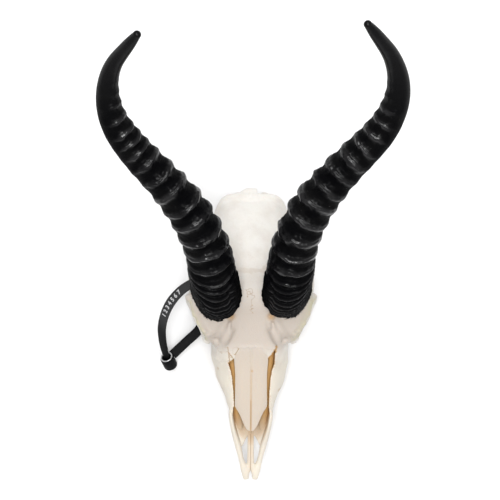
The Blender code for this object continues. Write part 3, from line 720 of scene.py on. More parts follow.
skull = {
    "block": ((-58, -150, -6), (58, 56, 104)),
    "grain": 0.8,
    "triangles": 196000,
    "face": [  # y, crown z, shoulder x z, flank x z, gum x z, palate z
        (-127, 46.0, 12.0, 43.5, 15.2, 36.5, 12.6, 27, 27.0),
        (-119, 49.5, 13.0, 46.5, 16.3, 37, 14.5, 26, 26.0),
        (-108, 54.0, 14.0, 50.5, 19.8, 37, 18.5, 20, 23.0),
        (-96, 58.5, 15.5, 54.5, 24.5, 36, 24.0, 16, 21.0),
        (-84, 63.0, 17.5, 58.5, 27.3, 35, 26.8, 14, 20.0),
        (-72, 68.0, 21.0, 63.0, 27.8, 37, 27.6, 13, 19.5),
        (-61, 72.0, 25.0, 67.0, 28.6, 39, 28.6, 12, 19.0),
        (-51, 76.0, 27.0, 71.0, 29.0, 38, 29.6, 11, 20.0),
        (-42, 79.5, 26.0, 75.0, 25.0, 43, 25.5, 14, 26.0),
        (-35, 80.5, 22.0, 76.0, 18.0, 52, 14.0, 28, 31.0),
    ],
    "braincase": [
        (-54, 68.0, 18.0, 64.0, 18.0, 52, 10.0, 36, 35.0),
        (-38, 82.0, 26.0, 78.0, 24.0, 58, 12.0, 33, 31.0),
        (-24, 86.0, 26.0, 81.5, 25.5, 58, 13.0, 31, 29.0),
        (-9, 86.5, 23.0, 80.5, 29.0, 58, 15.0, 28, 26.0),
        (6, 80.5, 21.5, 74.5, 31.0, 52, 18.0, 24, 22.0),
        (18, 72.5, 21.0, 66.0, 30.5, 44, 19.0, 20, 18.5),
        (28, 64.0, 20.0, 58.0, 27.0, 38, 18.5, 17, 15.0),
        (36, 55.5, 18.5, 50.5, 23.0, 34, 16.5, 16, 14.0),
        (41, 49.5, 15.0, 46.0, 18.5, 32, 13.0, 17, 15.0),
    ],
    "nosePalate": [
        (-148.5, 28.2, 5.6, 28.6, 8.8, 29.6, 7.6, 27.2, 27.0),
        (-141.5, 30.0, 5.0, 30.2, 9.3, 31.5, 8.0, 28.6, 28.4),
        (-136, 31.5, 6.0, 32.0, 11.0, 33.5, 9.5, 27.8, 27.6),
        (-128, 33.0, 8.0, 34.0, 13.2, 36.0, 11.5, 26.8, 26.6),
        (-118, 34.0, 9.0, 36.0, 15.0, 37.0, 13.0, 26.0, 26.0),
    ],
    "noseHollow": [
        (-138, 42.0, 4.0, 41.5, 6.0, 38, 4.0, 33.5, 33.0),
        (-130, 46.0, 8.0, 45.0, 10.0, 39, 8.0, 31, 30.0),
        (-122, 49.0, 9.0, 47.0, 12.9, 38, 11.0, 29.3, 29.0),
        (-117, 49.5, 9.0, 47.0, 13.4, 38, 12.0, 29, 28.5),
        (-104, 54.0, 10.5, 51.0, 17.0, 37, 15.0, 27, 27.0),
        (-92, 58.5, 13.0, 55.0, 20.0, 37, 18.0, 26, 26.0),
        (-80, 63.0, 16.0, 58.5, 21.0, 39, 18.0, 27, 27.0),
        (-68, 66.0, 15.0, 60.0, 17.0, 44, 13.0, 32, 32.0),
    ],
    "fissures": {  # plan of the slit beside each nasal bone
        "left": [
            (18.5, -69.4), (17.4, -76), (17.0, -83), (15.2, -88), (13.9, -96), (13.4, -106),
            (13.1, -116), (11.4, -116), (11.2, -87), (12.6, -78.2), (15.1, -76.1), (17.4, -72.0),
        ],
        "right": [
            (16.9, -82.4), (16.0, -85.4), (14.9, -88.6), (13.9, -94), (13.6, -99.4), (13.0, -105),
            (12.6, -116), (11.4, -116), (11.2, -93), (11.6, -84), (12.4, -78.6),
        ],
    },
    "noseFront": [  # edge of its floor, half
        (2.2, -140.2), (3.7, -141.8), (5.6, -146.0), (7.4, -149.6), (8.0, -156),
    ],
    "noseNotch": [(13.4, -116.5), (13.6, -140), (-13.6, -140), (-13.4, -116.5)],
    "flankShift": {  # y, how far the side of the face moves outwards
        "left": [
            (-127, 0.0), (-118, 0.2), (-113, -0.2), (-108, -0.3), (-102, 0.4), (-95, -0.6), (-91, -1.2),
            (-84, -1.0), (-79, -1.5), (-71, -1.6), (-66, -1.0), (-60, 0.0),
        ],
        "right": [
            (-127, 0.3), (-124, 0.3), (-118, 0.9), (-114, 0.8), (-110, 0.1), (-104, 0.3), (-96, 0.4),
            (-92, 0.0), (-88, -0.4), (-83, 0.6), (-79, 1.1), (-72, 0.6), (-66, 0.2), (-60, 0.0),
        ],
    },
    "orbitCentre": (39.0, -48.0, 58.0),
    "orbitFacing": (0.89, -0.43, 0.12),
    "orbitRim": 17.0,
    "orbitRimThick": 2.4,
    "orbitHollow": [  # depth along its axis, radius
        (6.0, 17.2), (0.0, 14.9), (-5.0, 14.6), (-11.0, 13.6), (-15.0, 11.0), (-18.0, 6.0),
    ],
    "slits": [  # fine brown lines, in plan
        [(-17.4, -69.8), (-16.9, -73.0), (-14.9, -76.6), (-13.2, -78.8)],
        [(-16.9, -73.4), (-16.6, -76.8), (-15.9, -80.4)],
        [(-9.2, -70.6), (-10.6, -73.2), (-12.2, -75.6)],
        [(18.9, -68.0), (18.2, -70.2), (17.4, -72.6)],
    ],
    "faintSeam": [[(-27.4, -67.6), (-22.2, -73.4)]],
    "thinRim": [[(45.0, -36.0), (42.4, -45.0), (38.6, -52.4), (35.6, -59.0), (33.6, -64.0)]],
    "pits": [(21.1, -104.2, 0.8), (-25.2, -87.5, 0.6)],  # x, y, radius; brown spots are painted there, part stain and part painted shade of pits that are not carved
    # small forms laid on the surface: x and y of each point, radius, how far the middle
    # stands above the surface, blend; the same on both sides
    "ridges": [
        ([(15.6, -50.6), (16.2, -54.5), (16.0, -58.0)], 1.1, -0.1, 1.6),
        ([(16.0, -56.0), (18.8, -62.4), (21.4, -69.7), (24.0, -78.0)], 2.2, -1.3, 4.0),
        ([(31.2, -59.0), (32.4, -61.2)], 1.3, 0.1, 1.2),
        ([
            (0.4, -70.2), (2.6, -68.9), (5.0, -70.2), (7.4, -69.3), (9.4, -71.5), (10.8, -74.4),
        ], 0.8, -0.1, 0.8),
        ([(34.4, -58.6), (35.4, -56.8)], 1.1, 0.0, 1.2),
        ([(38.6, -53.0), (39.6, -50.6)], 1.1, 0.1, 1.2),
        ([(41.8, -46.4), (42.6, -43.8)], 1.0, 0.1, 1.2),
        ([(29.8, -58.0), (33.6, -51.6), (37.0, -44.0)], 1.2, -0.7, 1.6),
        ([(20.0, 14.0), (22.5, 6.0), (23.0, -4.0), (21.0, -12.0)], 1.2, -0.9, 2.0),
    ],
    "grooves": [
        ([(15.0, -46.4), (18.6, -53.0), (22.8, -59.6), (25.6, -66.6)], 3.2, 2.0, 4.0),
        ([(14.4, -44.6), (14.8, -47.4), (15.6, -49.4)], 1.9, 0.2, 1.0),
        ([(25.4, -61.6), (28.6, -63.4), (31.4, -62.6)], 2.0, 0.5, 1.6),
        ([(24.4, -66.0), (21.0, -71.5)], 0.5, 0.1, 0.5),
        ([(39.2, -54.6), (40.2, -55.2)], 1.1, 0.5, 0.8),
    ],
    "middleForms": [  # maker, name, blend, measures
        ("body", "face", 3.0),
        ("body", "braincase", 4.0),
        ("egg", "poll", 3.0, (0, 41.5, 47.5), (9, 3.5, 5)),
        ("tube", "pollKnob", 0.8, [
            (-9.0, 42.6, 47.4, 1.6, 2.2), (-3.7, 45.8, 47.6, 2.4, 2.8), (0.2, 46.0, 47.8, 2.4, 2.8),
            (4.2, 45.8, 47.6, 2.4, 2.8),
        ], (0, 0, 1), 24, 4),
        ("tube", "skullBase", 3.0, [
            (0, 38, 15, 8, 4), (0, 20, 18, 9.5, 4.5), (0, 0, 22, 9, 4.5), (0, -20, 29, 7.5, 4),
            (0, -44, 34, 7, 4),
        ]),
    ],
    "sideForms": [  # the same on both sides
        ("egg", "brow", 6.0, (28.5, -46, 74.5), (13.5, 21, 6.5), (8, 12, -25)),
        ("rim", "orbitRim", 3.0),
        ("egg", "lacrimal", 6.0, (24.6, -61.5, 51), (6.0, 7, 17), (8, 4, -20)),
        ("tube", "cheek", 3.5, [
            (19.5, -80, 33, 3.5, 6), (21.6, -70, 34.5, 3.8, 7), (27.6, -61.5, 37, 3.8, 6),
            (33.4, -56, 38.5, 3.8, 5.5), (38.6, -49, 40.5, 3.4, 4.5), (42.4, -39, 42, 3, 4.2),
            (45.3, -25, 41.5, 2.4, 4.2), (43.5, -10, 42, 2.4, 4.4), (38.5, 2, 43, 3.2, 4.4),
            (31, 9, 44, 4, 5),
        ]),
        ("egg", "tubercle", 1.4, (33.4, -64.4, 41), (3.6, 4.8, 4.5), (0, 0, -20)),
        ("egg", "jawJoint", 3.0, (32, 3, 38), (7, 8, 4.5)),
        ("egg", "temporal", 5.0, (27.5, 17, 36), (6.5, 9, 12)),
        ("tube", "ear", 2.0, [(27, 13, 33, 4, 4), (35.5, 13, 37, 3.6, 3.6)]),
        ("egg", "bulla", 1.5, (16.5, 9, 18.5), (6.5, 11.5, 10.5), (-8, 10, -12)),
        ("tube", "process", 2.5, [
            (22, 20, 30, 6, 4.5), (22.5, 24, 18, 4.5, 3.2), (21.5, 26, 6, 3.4, 2.4),
            (20.8, 26, -3, 3, 2.2),
        ], (0, 1, 0)),
        ("egg", "condyle", 1.6, (10.5, 38.5, 19.5), (6.8, 8, 9), (-20, 0, 15)),
        ("tube", "napeCrest", 3.0, [
            (0, 41.3, 49.5, 3.2, 3.2), (8, 41.0, 48.5, 3.0, 3.0), (15.5, 41.3, 47, 2.9, 2.9),
            (20.2, 39.0, 45.4, 2.8, 2.8), (23.2, 35.2, 42.6, 2.6, 2.6), (25.8, 29, 37, 2.4, 2.4),
        ]),
        ("tube", "pterygoid", 2.0, [
            (8.6, -55, 25, 1.8, 7.5), (8.6, -40, 27, 1.6, 8), (8.2, -26, 28, 1.4, 6.5),
            (8.0, -16, 28, 1.4, 4),
        ]),
        ("pedicle", "pedicle", 6.0),
    ],
    "noseTrough": [  # the hollow between the premaxillae, above the bony floor of the nose
        (0, -148, 35.0, 6.6, 5.6), (0, -138, 37.5, 9.9, 8.9), (0, -130, 39.5, 12.0, 11.2),
        (0, -120, 41.0, 13.0, 13.0), (0, -112, 42.0, 13.0, 13.0),
    ],
    "middleHollows": [
        ("tube", "vault", 2.0, [
            (0, -122, 20.5, 7, 4), (0, -104, 17.5, 10, 5), (0, -80, 15.5, 13.5, 6.5),
            (0, -50, 14, 14, 7.5), (0, -36, 12, 13, 8),
        ]),
        ("tube", "choana", 1.2, [(0, -60, 27, 6, 5.5), (0, -46, 27, 6.6, 6), (0, -12, 22, 6.2, 7)]),
        ("tube", "brain", 1.6, [
            (0, 50, 24, 8.6, 8), (0, 34, 27, 8.2, 8), (0, 24, 32, 10, 9), (0, 14, 37, 10, 9),
            (0, 8, 40, 4, 4),
        ]),
    ],
    "sideHollows": [
        ("socket", "orbitSocket", 1.2),
        ("egg", "temple", 2.0, (37.5, -17, 52), (6.8, 17.5, 30), (0, 8, 4)),
        ("rod", "earHole", 1.0, (24, 13, 32), (42, 13, 39), 2.0),
        ("rod", "browHole", 1.4, (14.4, -46.6, 77.6), (15, -48, 86), 1.6),
        ("rod", "cheekHole", 1.2, (16, -101, 35), (30, -109, 35), 2.0),
    ],
    "flankFrom": [(-112, 12), (-98, 18)],  # y, how far out the side of the face begins
    "flankFade": 8,
    "cutHeights": {"noseNotch": (37, 90), "noseFront": (15, 60), "fissure": (46, 90)},
}


def orbitFrame(side):
    # its middle and the ways that it faces, backwards and upwards
    facing = onSide(side, Vector(skull["orbitFacing"]).normalized())
    back = Vector((0, 0, 1)).cross(facing).normalized() * side
    return onSide(side, skull["orbitCentre"]), facing, back, facing.cross(back).normalized() * side


def ringOf(name, middles, ways, rise, sizes, section=14):
    # a ring of oval section: its middles, the ways outwards, the way upwards, half sizes
    parts = zip(middles, ways, sizes)
    ovals = [ovalAt(middle, outwards, rise, *size, section) for middle, outwards, size in parts]
    return loft(name, ovals, closed=True)


def orbitRim(name, side):
    middle, facing, back, up = orbitFrame(side)
    turns, thick = turnsRound(60), skull["orbitRimThick"]
    ways = [back * math.cos(t) + up * math.sin(t) for t in turns]
    sizes = [  # a little uneven
        (thick * (1 + 0.08 * math.sin(5 * t + 1)), 1.25 * thick * (1 + 0.1 * math.sin(7 * t)))
        for t in turns
    ]
    return ringOf(name, [middle + way * skull["orbitRim"] for way in ways], ways, facing, sizes)


def orbitSocket(name, side):
    middle, facing, back, up = orbitFrame(side)
    return loft(name, [
        circleAt(middle + facing * depth, back, up, radius, 40) for depth, radius in skull["orbitHollow"]
    ])


def hornSeat(side):
    return onSide(side, horn["base"]), onSide(side, Vector(horn["facing"]).normalized())


def pedicle(name, side):
    # the stump under a horn, from inside the bone to a little way up
    base, facing = hornSeat(1)
    top = [b + 8 * f for b, f in zip(base, facing)]
    return tube(name, side, [
        (base.x - 3, base.y + 2, base.z - 16, 18, 16.5), (base.x, base.y + 1, base.z, 13.5, 17),
        (*top, 12, 14),
    ], up=(0, 1, 0))


def skullBody(name, side):
    return bodyLoft(name, skull[name])


makers = {
    "body": skullBody, "egg": egg, "tube": tube, "rod": rod, "rim": orbitRim, "socket": orbitSocket,
    "pedicle": pedicle,
}


def shapeClay(change, forms, side=1):
    # adds or carves each form in turn: change is the clay's add or carve
    for maker, name, blend, *measures in forms:
        change(makers[maker](name, side, *measures), blend)


def noseTrough():
    return tube("noseTrough", 1, skull["noseTrough"], around=32)


def fissure(word):
    return [(sides[word] * x, y) for x, y in skull["fissures"][word]]


def carveHollows(clay):
    clay.carve(skullBody("noseHollow", 1), 0.8)
    clay.carve(noseTrough(), 0.8)
    front = skull["noseFront"] + [(-x, y) for x, y in reversed(skull["noseFront"])]
    cuts = [("noseNotch", skull["noseNotch"], 1.0), ("noseFront", front, 0.6)]
    cuts += [("fissure", fissure(word), 0.6) for word in sides]
    for name, outline, blend in cuts:
        clay.carve(planBlock(name, outline, *skull["cutHeights"][name]), blend)
    shapeClay(clay.carve, skull["middleHollows"])
    for side in sides.values():
        shapeClay(clay.carve, skull["sideHollows"], side)


def layOn(clay, route, radius, lift, side):
    # a round bar laid along the upper surface
    stations = [(x, y, clay.topAt(side * x, y) + lift, radius, radius) for x, y in route]
    return tube("bar", side, stations, around=12, steps=4)


def shiftFlanks(bone):
    # the two sides of the face aren't quite alike
    points = tablePoints(bone.data)
    first = lineAt(skull["flankFrom"], points[:, 1])
    for word, side in sides.items():
        out = side * points[:, 0]
        move = lineAt(skull["flankShift"][word], points[:, 1])
        points[:, 0] += side * move * np.clip((out - first) / skull["flankFade"], 0, 1)
    movePoints(bone.data, points)


def makeSkull():
    clay = Clay(*skull["block"], skull["grain"])
    shapeClay(clay.add, skull["middleForms"])
    for side in sides.values():
        shapeClay(clay.add, skull["sideForms"], side)
    bars = [
        (change, layOn(clay, route, radius, lift, side), blend)
        for kind, change in (("grooves", clay.carve), ("ridges", clay.add))
        for route, radius, lift, blend in skull[kind]
        for side in sides.values()
    ]
    clay.add(skullBody("nosePalate", 1), 1.2)
    carveHollows(clay)
    for change, bar, blend in bars:
        change(bar, blend)
    # nothing reaches below the floor
    heights = (np.arange(clay.field.shape[2]) + clay.first[2]) * clay.grain
    clay.field = np.maximum(clay.field, (0.05 - heights).astype(np.float32)[None, None, :])
    bone = keepLargest(clay.surface("skull"))
    print("skull modelled:", len(bone.data.polygons), "faces")
    thin = bone.modifiers.new("thin", "DECIMATE")
    thin.ratio = min(1.0, skull["triangles"] / (2 * len(bone.data.polygons)))
    withModifiersApplied(bone)
    shiftFlanks(bone)
    print("skull thinned:", len(bone.data.polygons), "faces")
    return bone, clay


# horns

horn = {
    "base": (26.0, -30.5, 85.0),
    "facing": (0.16, -0.30, 0.94),
    "lengths": {"right": 263.8, "left": 272.8},
    "depthShare": [(0, 1.11), (0.1, 1.1), (0.2, 1.1), (0.5, 1.04), (1, 1.0)],
    "radius": [
        (0, 17.4), (0.04, 16.9), (0.08, 16.2), (0.12, 15.6), (0.163, 15.3), (0.207, 15.2),
        (0.252, 15.1), (0.296, 14.85), (0.34, 14.45), (0.385, 13.9), (0.43, 13.3), (0.474, 12.5),
        (0.52, 11.95), (0.563, 11.55), (0.607, 10.95), (0.652, 10.3), (0.696, 9.3), (0.74, 8.3),
        (0.785, 7.25), (0.83, 6.15), (0.874, 5.25), (0.918, 4.5), (0.963, 3.7), (1, 2.5),
    ],
    "baseShape": {  # degrees round the base from the outer side, millimetres added there
        "right": [
            (-180, -0.8), (-170, -0.8), (-162, -0.6), (-154, 0.0), (-146, 0.6), (-138, 1.2), (-130, 1.0),
            (-122, 0.6), (-114, 0.0), (-106, 0.1), (-98, 0.3), (-90, 1.0), (-82, 1.0), (-74, 1.5),
            (-60, 1.9), (-45, 1.7), (-34, 0.9), (-26, 0.5), (-18, -0.2), (0, 0.1), (20, 0.6),
            (90, 1.2), (150, 0.0), (180, -0.8),
        ],
        "left": [
            (-180, -1.6), (-170, -1.6), (-162, -1.5), (-154, -1.4), (-146, -1.0), (-138, 0.1),
            (-130, -0.2), (-122, -0.8), (-114, -0.9), (-106, -1.2), (-98, -1.4), (-90, -0.8),
            (-82, -0.3), (-74, 0.0), (-66, 0.6), (-58, 1.2), (-50, 1.0), (-42, 0.7), (-34, 0.5),
            (-26, 0.3), (-18, 0.0), (0, 0.0), (20, 0.4), (90, 1.2), (150, -0.6), (180, -1.6),
        ],
    },
    "splay": {  # degrees away from straight back
        "right": [
            (0, 0.9), (0.1, 7.5), (0.2, 7.7), (0.3, 24.6), (0.36, 31.0), (0.44, 40.2), (0.54, 44.5),
            (0.6, 41.0), (0.66, 34.3), (0.72, 16.3), (0.82, -16.6), (0.9, -49.5), (1, -52.3),
        ],
        "left": [
            (0, 2.1), (0.1, 6.4), (0.2, 6.2), (0.3, 20.3), (0.36, 30.9), (0.44, 40.3), (0.54, 45.2),
            (0.6, 45.1), (0.66, 33.8), (0.72, 18.0), (0.82, -20.7), (0.9, -47.3), (1, -52.5),
        ],
    },
    "rise": {  # degrees above level
        "right": [
            (0, 72.6), (0.1, 62.3), (0.2, 47.2), (0.32, 35.0), (0.44, 29.7), (0.56, 28.7), (0.66, 33.9),
            (0.76, 38.5), (0.88, 48.0), (1, 53.1),
        ],
        "left": [
            (0, 72.8), (0.1, 62.3), (0.2, 46.8), (0.32, 33.2), (0.44, 28.3), (0.56, 28.9), (0.66, 34.8),
            (0.76, 40.0), (0.88, 49.2), (1, 52.0),
        ],
    },
    "rings": {  # how far up the horn each ring's edge stands
        "right": [
            -2.0, 1.5, 4.6, 8.2, 12.6, 18.0, 24.0, 30.6, 38.0, 46.5, 57.9, 69.0, 81.6, 95.4,
            108.2, 122.3, 136.4, 148.7, 159.2, 168.4, 177.4, 187.4, 198.5,
        ],
        "left": [
            -2.0, 1.4, 4.8, 8.8, 13.4, 18.6, 24.8, 31.8, 39.6, 47.0, 55.5, 68.2, 81.4, 96.2,
            110.4, 123.5, 137.2, 150.7, 162.7, 174.0, 184.6, 195.6, 206.0,
        ],
    },
    # below the top, rings draw together by this share on the side that this turn gives
    "crowding": {"top": 50.0, "share": 0.62, "turn": 0.5, "power": 1.6},
    "ringsBeyond": (4.0, 10.0),  # how far apart they would stand before the first and after the last
    "ringLift": [
        (0, 1.8), (30, 2.3), (42, 3.2), (60, 3.3), (140, 2.9), (180, 2.0), (205, 0.9), (222, 0.0),
    ],
    "ringProfile": [  # share of the way to the next ring, height
        (0.0, 1.0), (0.03, 0.99), (0.06, 0.94), (0.1, 0.78), (0.13, 0.67), (0.155, 0.63), (0.18, 0.63),
        (0.21, 0.58), (0.26, 0.43), (0.32, 0.27), (0.38, 0.12), (0.45, 0.02), (0.5, 0.0), (0.57, 0.03),
        (0.66, 0.14), (0.75, 0.32), (0.84, 0.56), (0.91, 0.79), (0.96, 0.94), (1.0, 1.0),
    ],
    "banded": (60.0, 18.0),  # rings are plain round bands below this length, and over this stretch
    "pinch": {"share": 0.24, "top": 60.0, "lean": 1.5},  # the narrower front of the base
    "around": 120,
    "step": 0.45,
    "sink": (2.5, 4),  # how far the base goes into the bone, in this many steps
    "cap": (0.95, 8),  # the rounded tip: its length for its radius, its steps
    "seatShare": 0.16,  # over this share the seat's slope gives way to the horn's own
    "baseOutline": (44.0, 36.0),  # where baseShape has faded out, and over what stretch
    # the rings are higher on one side; how even they are along the horn, at its base and its tip
    "highSide": 0.7,
    "evenness": {"along": 0.24, "base": 0.5, "tip": -0.22},
    "baseZone": (60.0, 30.0),  # where it has faded out, and over what stretch
    "tipZone": (110.0, 60.0),  # where it begins, and over what stretch
    "flange": {
        "middle": 188.0, "halfWidth": 34.0, "top": 40.0, "fade": 8.0, "bulge": 2.7,
        "crease": 0.9, "creaseWidth": 7.0, "creaseFrom": (4.0, 12.0),
    },
    "ringBias": 0.45,  # this share of a ring's height lies inside the smooth sheath
    "edgePower": 5.0,  # how narrow a band's polished edge is
    "ridges": {"count": 3, "power": 4.0, "polish": 0.75, "height": 0.34},  # within a band
    "fineLines": (6, 190.0),  # lines to a ring, where they have faded
    "fadeOfGrain": 230.0,  # the sheath is smoother towards this length
    "edgeLift": 0.65,  # share of a ring's edge for each millimetre of its height
    "surface": {  # inputs of the ring tree
        "Ring Height": 1.0, "Wobble": 0.9, "Fine Lines": 0.12, "Fold Height": 0.3, "Folds": 6.0,
        "Grain": 0.22,
    },
}


def hornWay(word, share):
    splay = math.radians(lineAt(horn["splay"][word], share))
    rise = math.radians(lineAt(horn["rise"][word], share))
    level = math.cos(rise)
    return Vector((sides[word] * level * math.sin(splay), level * math.cos(splay), math.sin(rise)))


def ringPhase(edges, at, turn):
    # counts the rings up to this length; near the base they fan out from the outer side
    crowd, (before, after) = horn["crowding"], horn["ringsBeyond"]
    if at < crowd["top"]:
        outer = (0.5 + 0.5 * math.cos(turn - crowd["turn"])) ** crowd["power"]
        at = crowd["top"] - (crowd["top"] - at) / (1 - crowd["share"] * outer)
    if at < edges[0]:
        return (at - edges[0]) / before
    if at > edges[-1]:
        return len(edges) - 1 + (at - edges[-1]) / after
    return float(np.interp(at, edges, range(len(edges))))


def roundTheBase(word):
    # for each turn: its angle from the flange, shape of flange and crease, what the outline adds
    flange, found = horn["flange"], []
    middle = math.radians(flange["middle"])
    for t in turnsRound(horn["around"]):
        away = math.degrees(math.atan2(math.sin(t - middle), math.cos(t - middle)))
        lobe = eased(1.6 * (1 - abs(away) / flange["halfWidth"]))
        crease = math.exp(-((abs(away) - flange["halfWidth"]) / flange["creaseWidth"]) ** 2)
        added = float(lineAt(horn["baseShape"][word], (math.degrees(t) + 180) % 360 - 180))
        found.append((t, away / flange["halfWidth"], lobe, crease, added))
    return found


def smoothHorn(word, side):
    # the sheath without its rings; each point stores what the ring tree needs to know
    length, flange, pinch, even = horn["lengths"][word], horn["flange"], horn["pinch"], horn["evenness"]
    base, facing = hornSeat(side)
    (sink, sinkSteps), (capLength, capSteps) = horn["sink"], horn["cap"]
    count = int(length / horn["step"])
    step = length / count
    baseTurns = roundTheBase(word)
    centre, rings, facts = base.copy(), [], []
    for k in range(-sinkSteps, count + capSteps):
        at = min(max(k, 0), count) * step
        share = at / length
        way = hornWay(word, share)
        normal = facing.lerp(way, eased(share / horn["seatShare"])).normalized()
        outwards = Vector((side, 0, 0))
        across = (outwards - normal * outwards.dot(normal)).normalized()
        back = normal.cross(across) * side
        radius = valueAt(horn["radius"], share)
        depth = valueAt(horn["depthShare"], share)
        spot = centre
        if k < 0:
            spot = centre + facing * (k / sinkSteps * sink)
        if k > count:
            cap = (k - count) / capSteps
            spot = centre + way * (radius * capLength * math.sin(cap * math.pi / 2))
            radius *= math.cos(cap * math.pi / 2) + 0.02

        flangeShare = fadeOut(at, flange["top"], flange["fade"])
        creaseShare = fadeOut(at, flange["top"] + 2, flange["fade"]) * fadeIn(at, *flange["creaseFrom"])
        outlineShare = fadeOut(at, *horn["baseOutline"])
        pinchShare = eased(1 - at / pinch["top"])
        tipShare = fadeIn(at, *horn["tipZone"])
        evenness = even["along"] + even["base"] * fadeOut(at, *horn["baseZone"]) + even["tip"] * tipShare
        ringLift = valueAt(horn["ringLift"], at)
        banded = fadeOut(at, *horn["banded"])
        ring = []
        for t, away, lobe, crease, added in baseTurns:
            lobe *= flangeShare
            reach = radius + flange["bulge"] * lobe - flange["crease"] * (crease * creaseShare)
            reach += added * outlineShare
            front = max(0.0, -math.sin(t)) * pinchShare
            aside = reach * (1 - pinch["share"] * front) * math.cos(t) - pinch["lean"] * front
            ring.append(spot + across * aside + back * (depth * reach * math.sin(t)))
            high = (0.5 - 0.5 * math.cos(t - horn["highSide"])) ** (1 + 2.0 * tipShare)
            lift = ringLift * (evenness + (1 - evenness) * high) * (1 - lobe)
            facts.append((ringPhase(horn["rings"][word], at, t), lift, lobe, away, at, banded))
        rings.append(ring)
        if 0 <= k < count:
            centre = centre + hornWay(word, (at + step / 2) / length) * step
    piece = loft("hornShape_" + word, rings)
    names = ("ringPhase", "ringLift", "flange", "flangeTurn", "upHorn", "banded")
    for name, column in zip(names, zip(*facts)):
        storeValues(piece.data, name, column)
    return piece


def named(tree, name):
    node = addNode(tree, "GeometryNodeInputNamedAttribute", data_type="FLOAT", Name=name)
    return node.outputs["Attribute"]


def endTree(tree, shape, given, gives):
    real = addNode(tree, "GeometryNodeRealizeInstances", shape)
    paint = addNode(
        tree, "GeometryNodeSetMaterial", Geometry=real.outputs[0], Material=given["Material"],
    )
    feed(tree, gives["Geometry"], paint.outputs[0])
    return tree


def makeRingTree():
    # raises a horn's rings and folds, and stores how near each point is to a ring's edge
    tree, given, gives = newTree(
        "hornRings", "GeometryNodeTree",
        {"Geometry": "Geometry", **horn["surface"], "Seed": 0.0, "Material": "Material"},
        {"Geometry": "Geometry"},
    )

    def sums(operation, *values):
        return maths(tree, operation, *values)

    place = addNode(tree, "GeometryNodeInputPosition").outputs[0]
    spot = {"noise_dimensions": "4D", "Vector": place, "W": given["Seed"]}
    cloud = noise(tree, **spot, Scale=60.0, Detail=3.0, Roughness=0.6)
    fibre = noise(tree, **spot, Scale=300.0, Detail=4.0)
    shift = times(tree, sums("SUBTRACT", cloud, 0.5), given["Wobble"])
    phase = sums("ADD", named(tree, "ringPhase"), shift)
    banded, upHorn, lifted = (named(tree, name) for name in ("banded", "upHorn", "ringLift"))

    # the height of each ring: its profile, or a plain wave near the base
    profile = addNode(tree, "ShaderNodeFloatCurve", Value=sums("FRACT", phase))
    curve = profile.mapping.curves[0]
    for k, (across, height) in enumerate(horn["ringProfile"]):
        if k < 2:
            curve.points[k].location = (across, height)
        else:
            curve.points.new(across, height)
    profile.mapping.update()
    wave = sums("MULTIPLY_ADD", sums("COSINE", times(tree, phase, math.tau)), 0.5, 0.5)
    swap = times(tree, sums("SUBTRACT", wave, profile.outputs[0]), banded)
    height = sums("ADD", profile.outputs[0], swap)
    lift = times(tree, sums("SUBTRACT", height, horn["ringBias"]), lifted)
    lift = times(tree, lift, given["Ring Height"])

    # small ridges within the bands, and fine lines that fade along the horn
    ridges = horn["ridges"]
    ridge = sums("COSINE", times(tree, phase, math.tau * ridges["count"]))
    lineCount, linesEnd = horn["fineLines"]
    lines = times(tree, sums("SINE", times(tree, phase, math.tau * lineCount)), given["Fine Lines"])
    fading = sums("SUBTRACT", 1.0, sums("MINIMUM", sums("DIVIDE", upHorn, linesEnd), 1.0))
    ridged = times(tree, times(tree, ridge, banded), ridges["height"])
    lines = sums("MULTIPLY_ADD", lines, fading, ridged)

    turned = times(tree, named(tree, "flangeTurn"), given["Folds"])
    folds = sums("SINE", times(tree, sums("ADD", turned, shift), math.pi))
    folded = times(tree, times(tree, folds, named(tree, "flange")), given["Fold Height"])
    rough = times(tree, sums("SUBTRACT", fibre, 0.5), given["Grain"])
    fade = sums("SUBTRACT", 1.0, sums("MINIMUM", sums("DIVIDE", upHorn, horn["fadeOfGrain"]), 0.9))
    total = sums("ADD", sums("ADD", lift, lines), sums("ADD", folded, times(tree, rough, fade)))

    # how near a point is to a ring's edge, for the polish and the edges' painted sheen
    sharp = sums("POWER", sums("MAXIMUM", wave, 0.0), horn["edgePower"])
    small = times(tree, sums("POWER", sums("MAXIMUM", ridge, 0.0), ridges["power"]), ridges["polish"])
    edged = sums("SUBTRACT", sums("MAXIMUM", sharp, small), height)
    edged = sums("MULTIPLY_ADD", edged, banded, height)
    ringed = sums("MINIMUM", times(tree, lifted, horn["edgeLift"]), 1.0)
    keep = addNode(
        tree, "GeometryNodeStoreNamedAttribute", data_type="FLOAT", domain="POINT",
        Geometry=given["Geometry"], Name="ringEdge", Value=times(tree, edged, ringed),
    )
    normal = addNode(tree, "GeometryNodeInputNormal").outputs[0]
    push = addNode(
        tree, "ShaderNodeVectorMath", normal, operation="SCALE", Scale=times(tree, total, mm),
    )
    move = addNode(
        tree, "GeometryNodeSetPosition", Geometry=keep.outputs["Geometry"], Offset=push.outputs[0],
    )
    return endTree(tree, move.outputs[0], given, gives)


def withTree(piece, tree, values):
    # runs a Geometry Nodes tree on the piece and keeps its result as the mesh
    modifier = piece.modifiers.new("make", "NODES")
    modifier.node_group = tree
    for item in tree.interface.items_tree:
        if item.item_type == "SOCKET" and item.in_out == "INPUT" and item.name in values:
            modifier[item.identifier] = values[item.name]
    return withModifiersApplied(piece)


def makeHorn(word, side, look):
    piece = smoothHorn(word, side)
    withTree(piece, ringTree, {**horn["surface"], "Seed": 3.0 + side, "Material": look})
    piece.name = "hornSheath_" + word
    print("horn", word, len(piece.data.polygons), "faces")
    return finished(piece, look, ["horn_" + word], sharpAngle=None)


# the nose: nasal bones, premaxillae, and the scrolls and wall inside

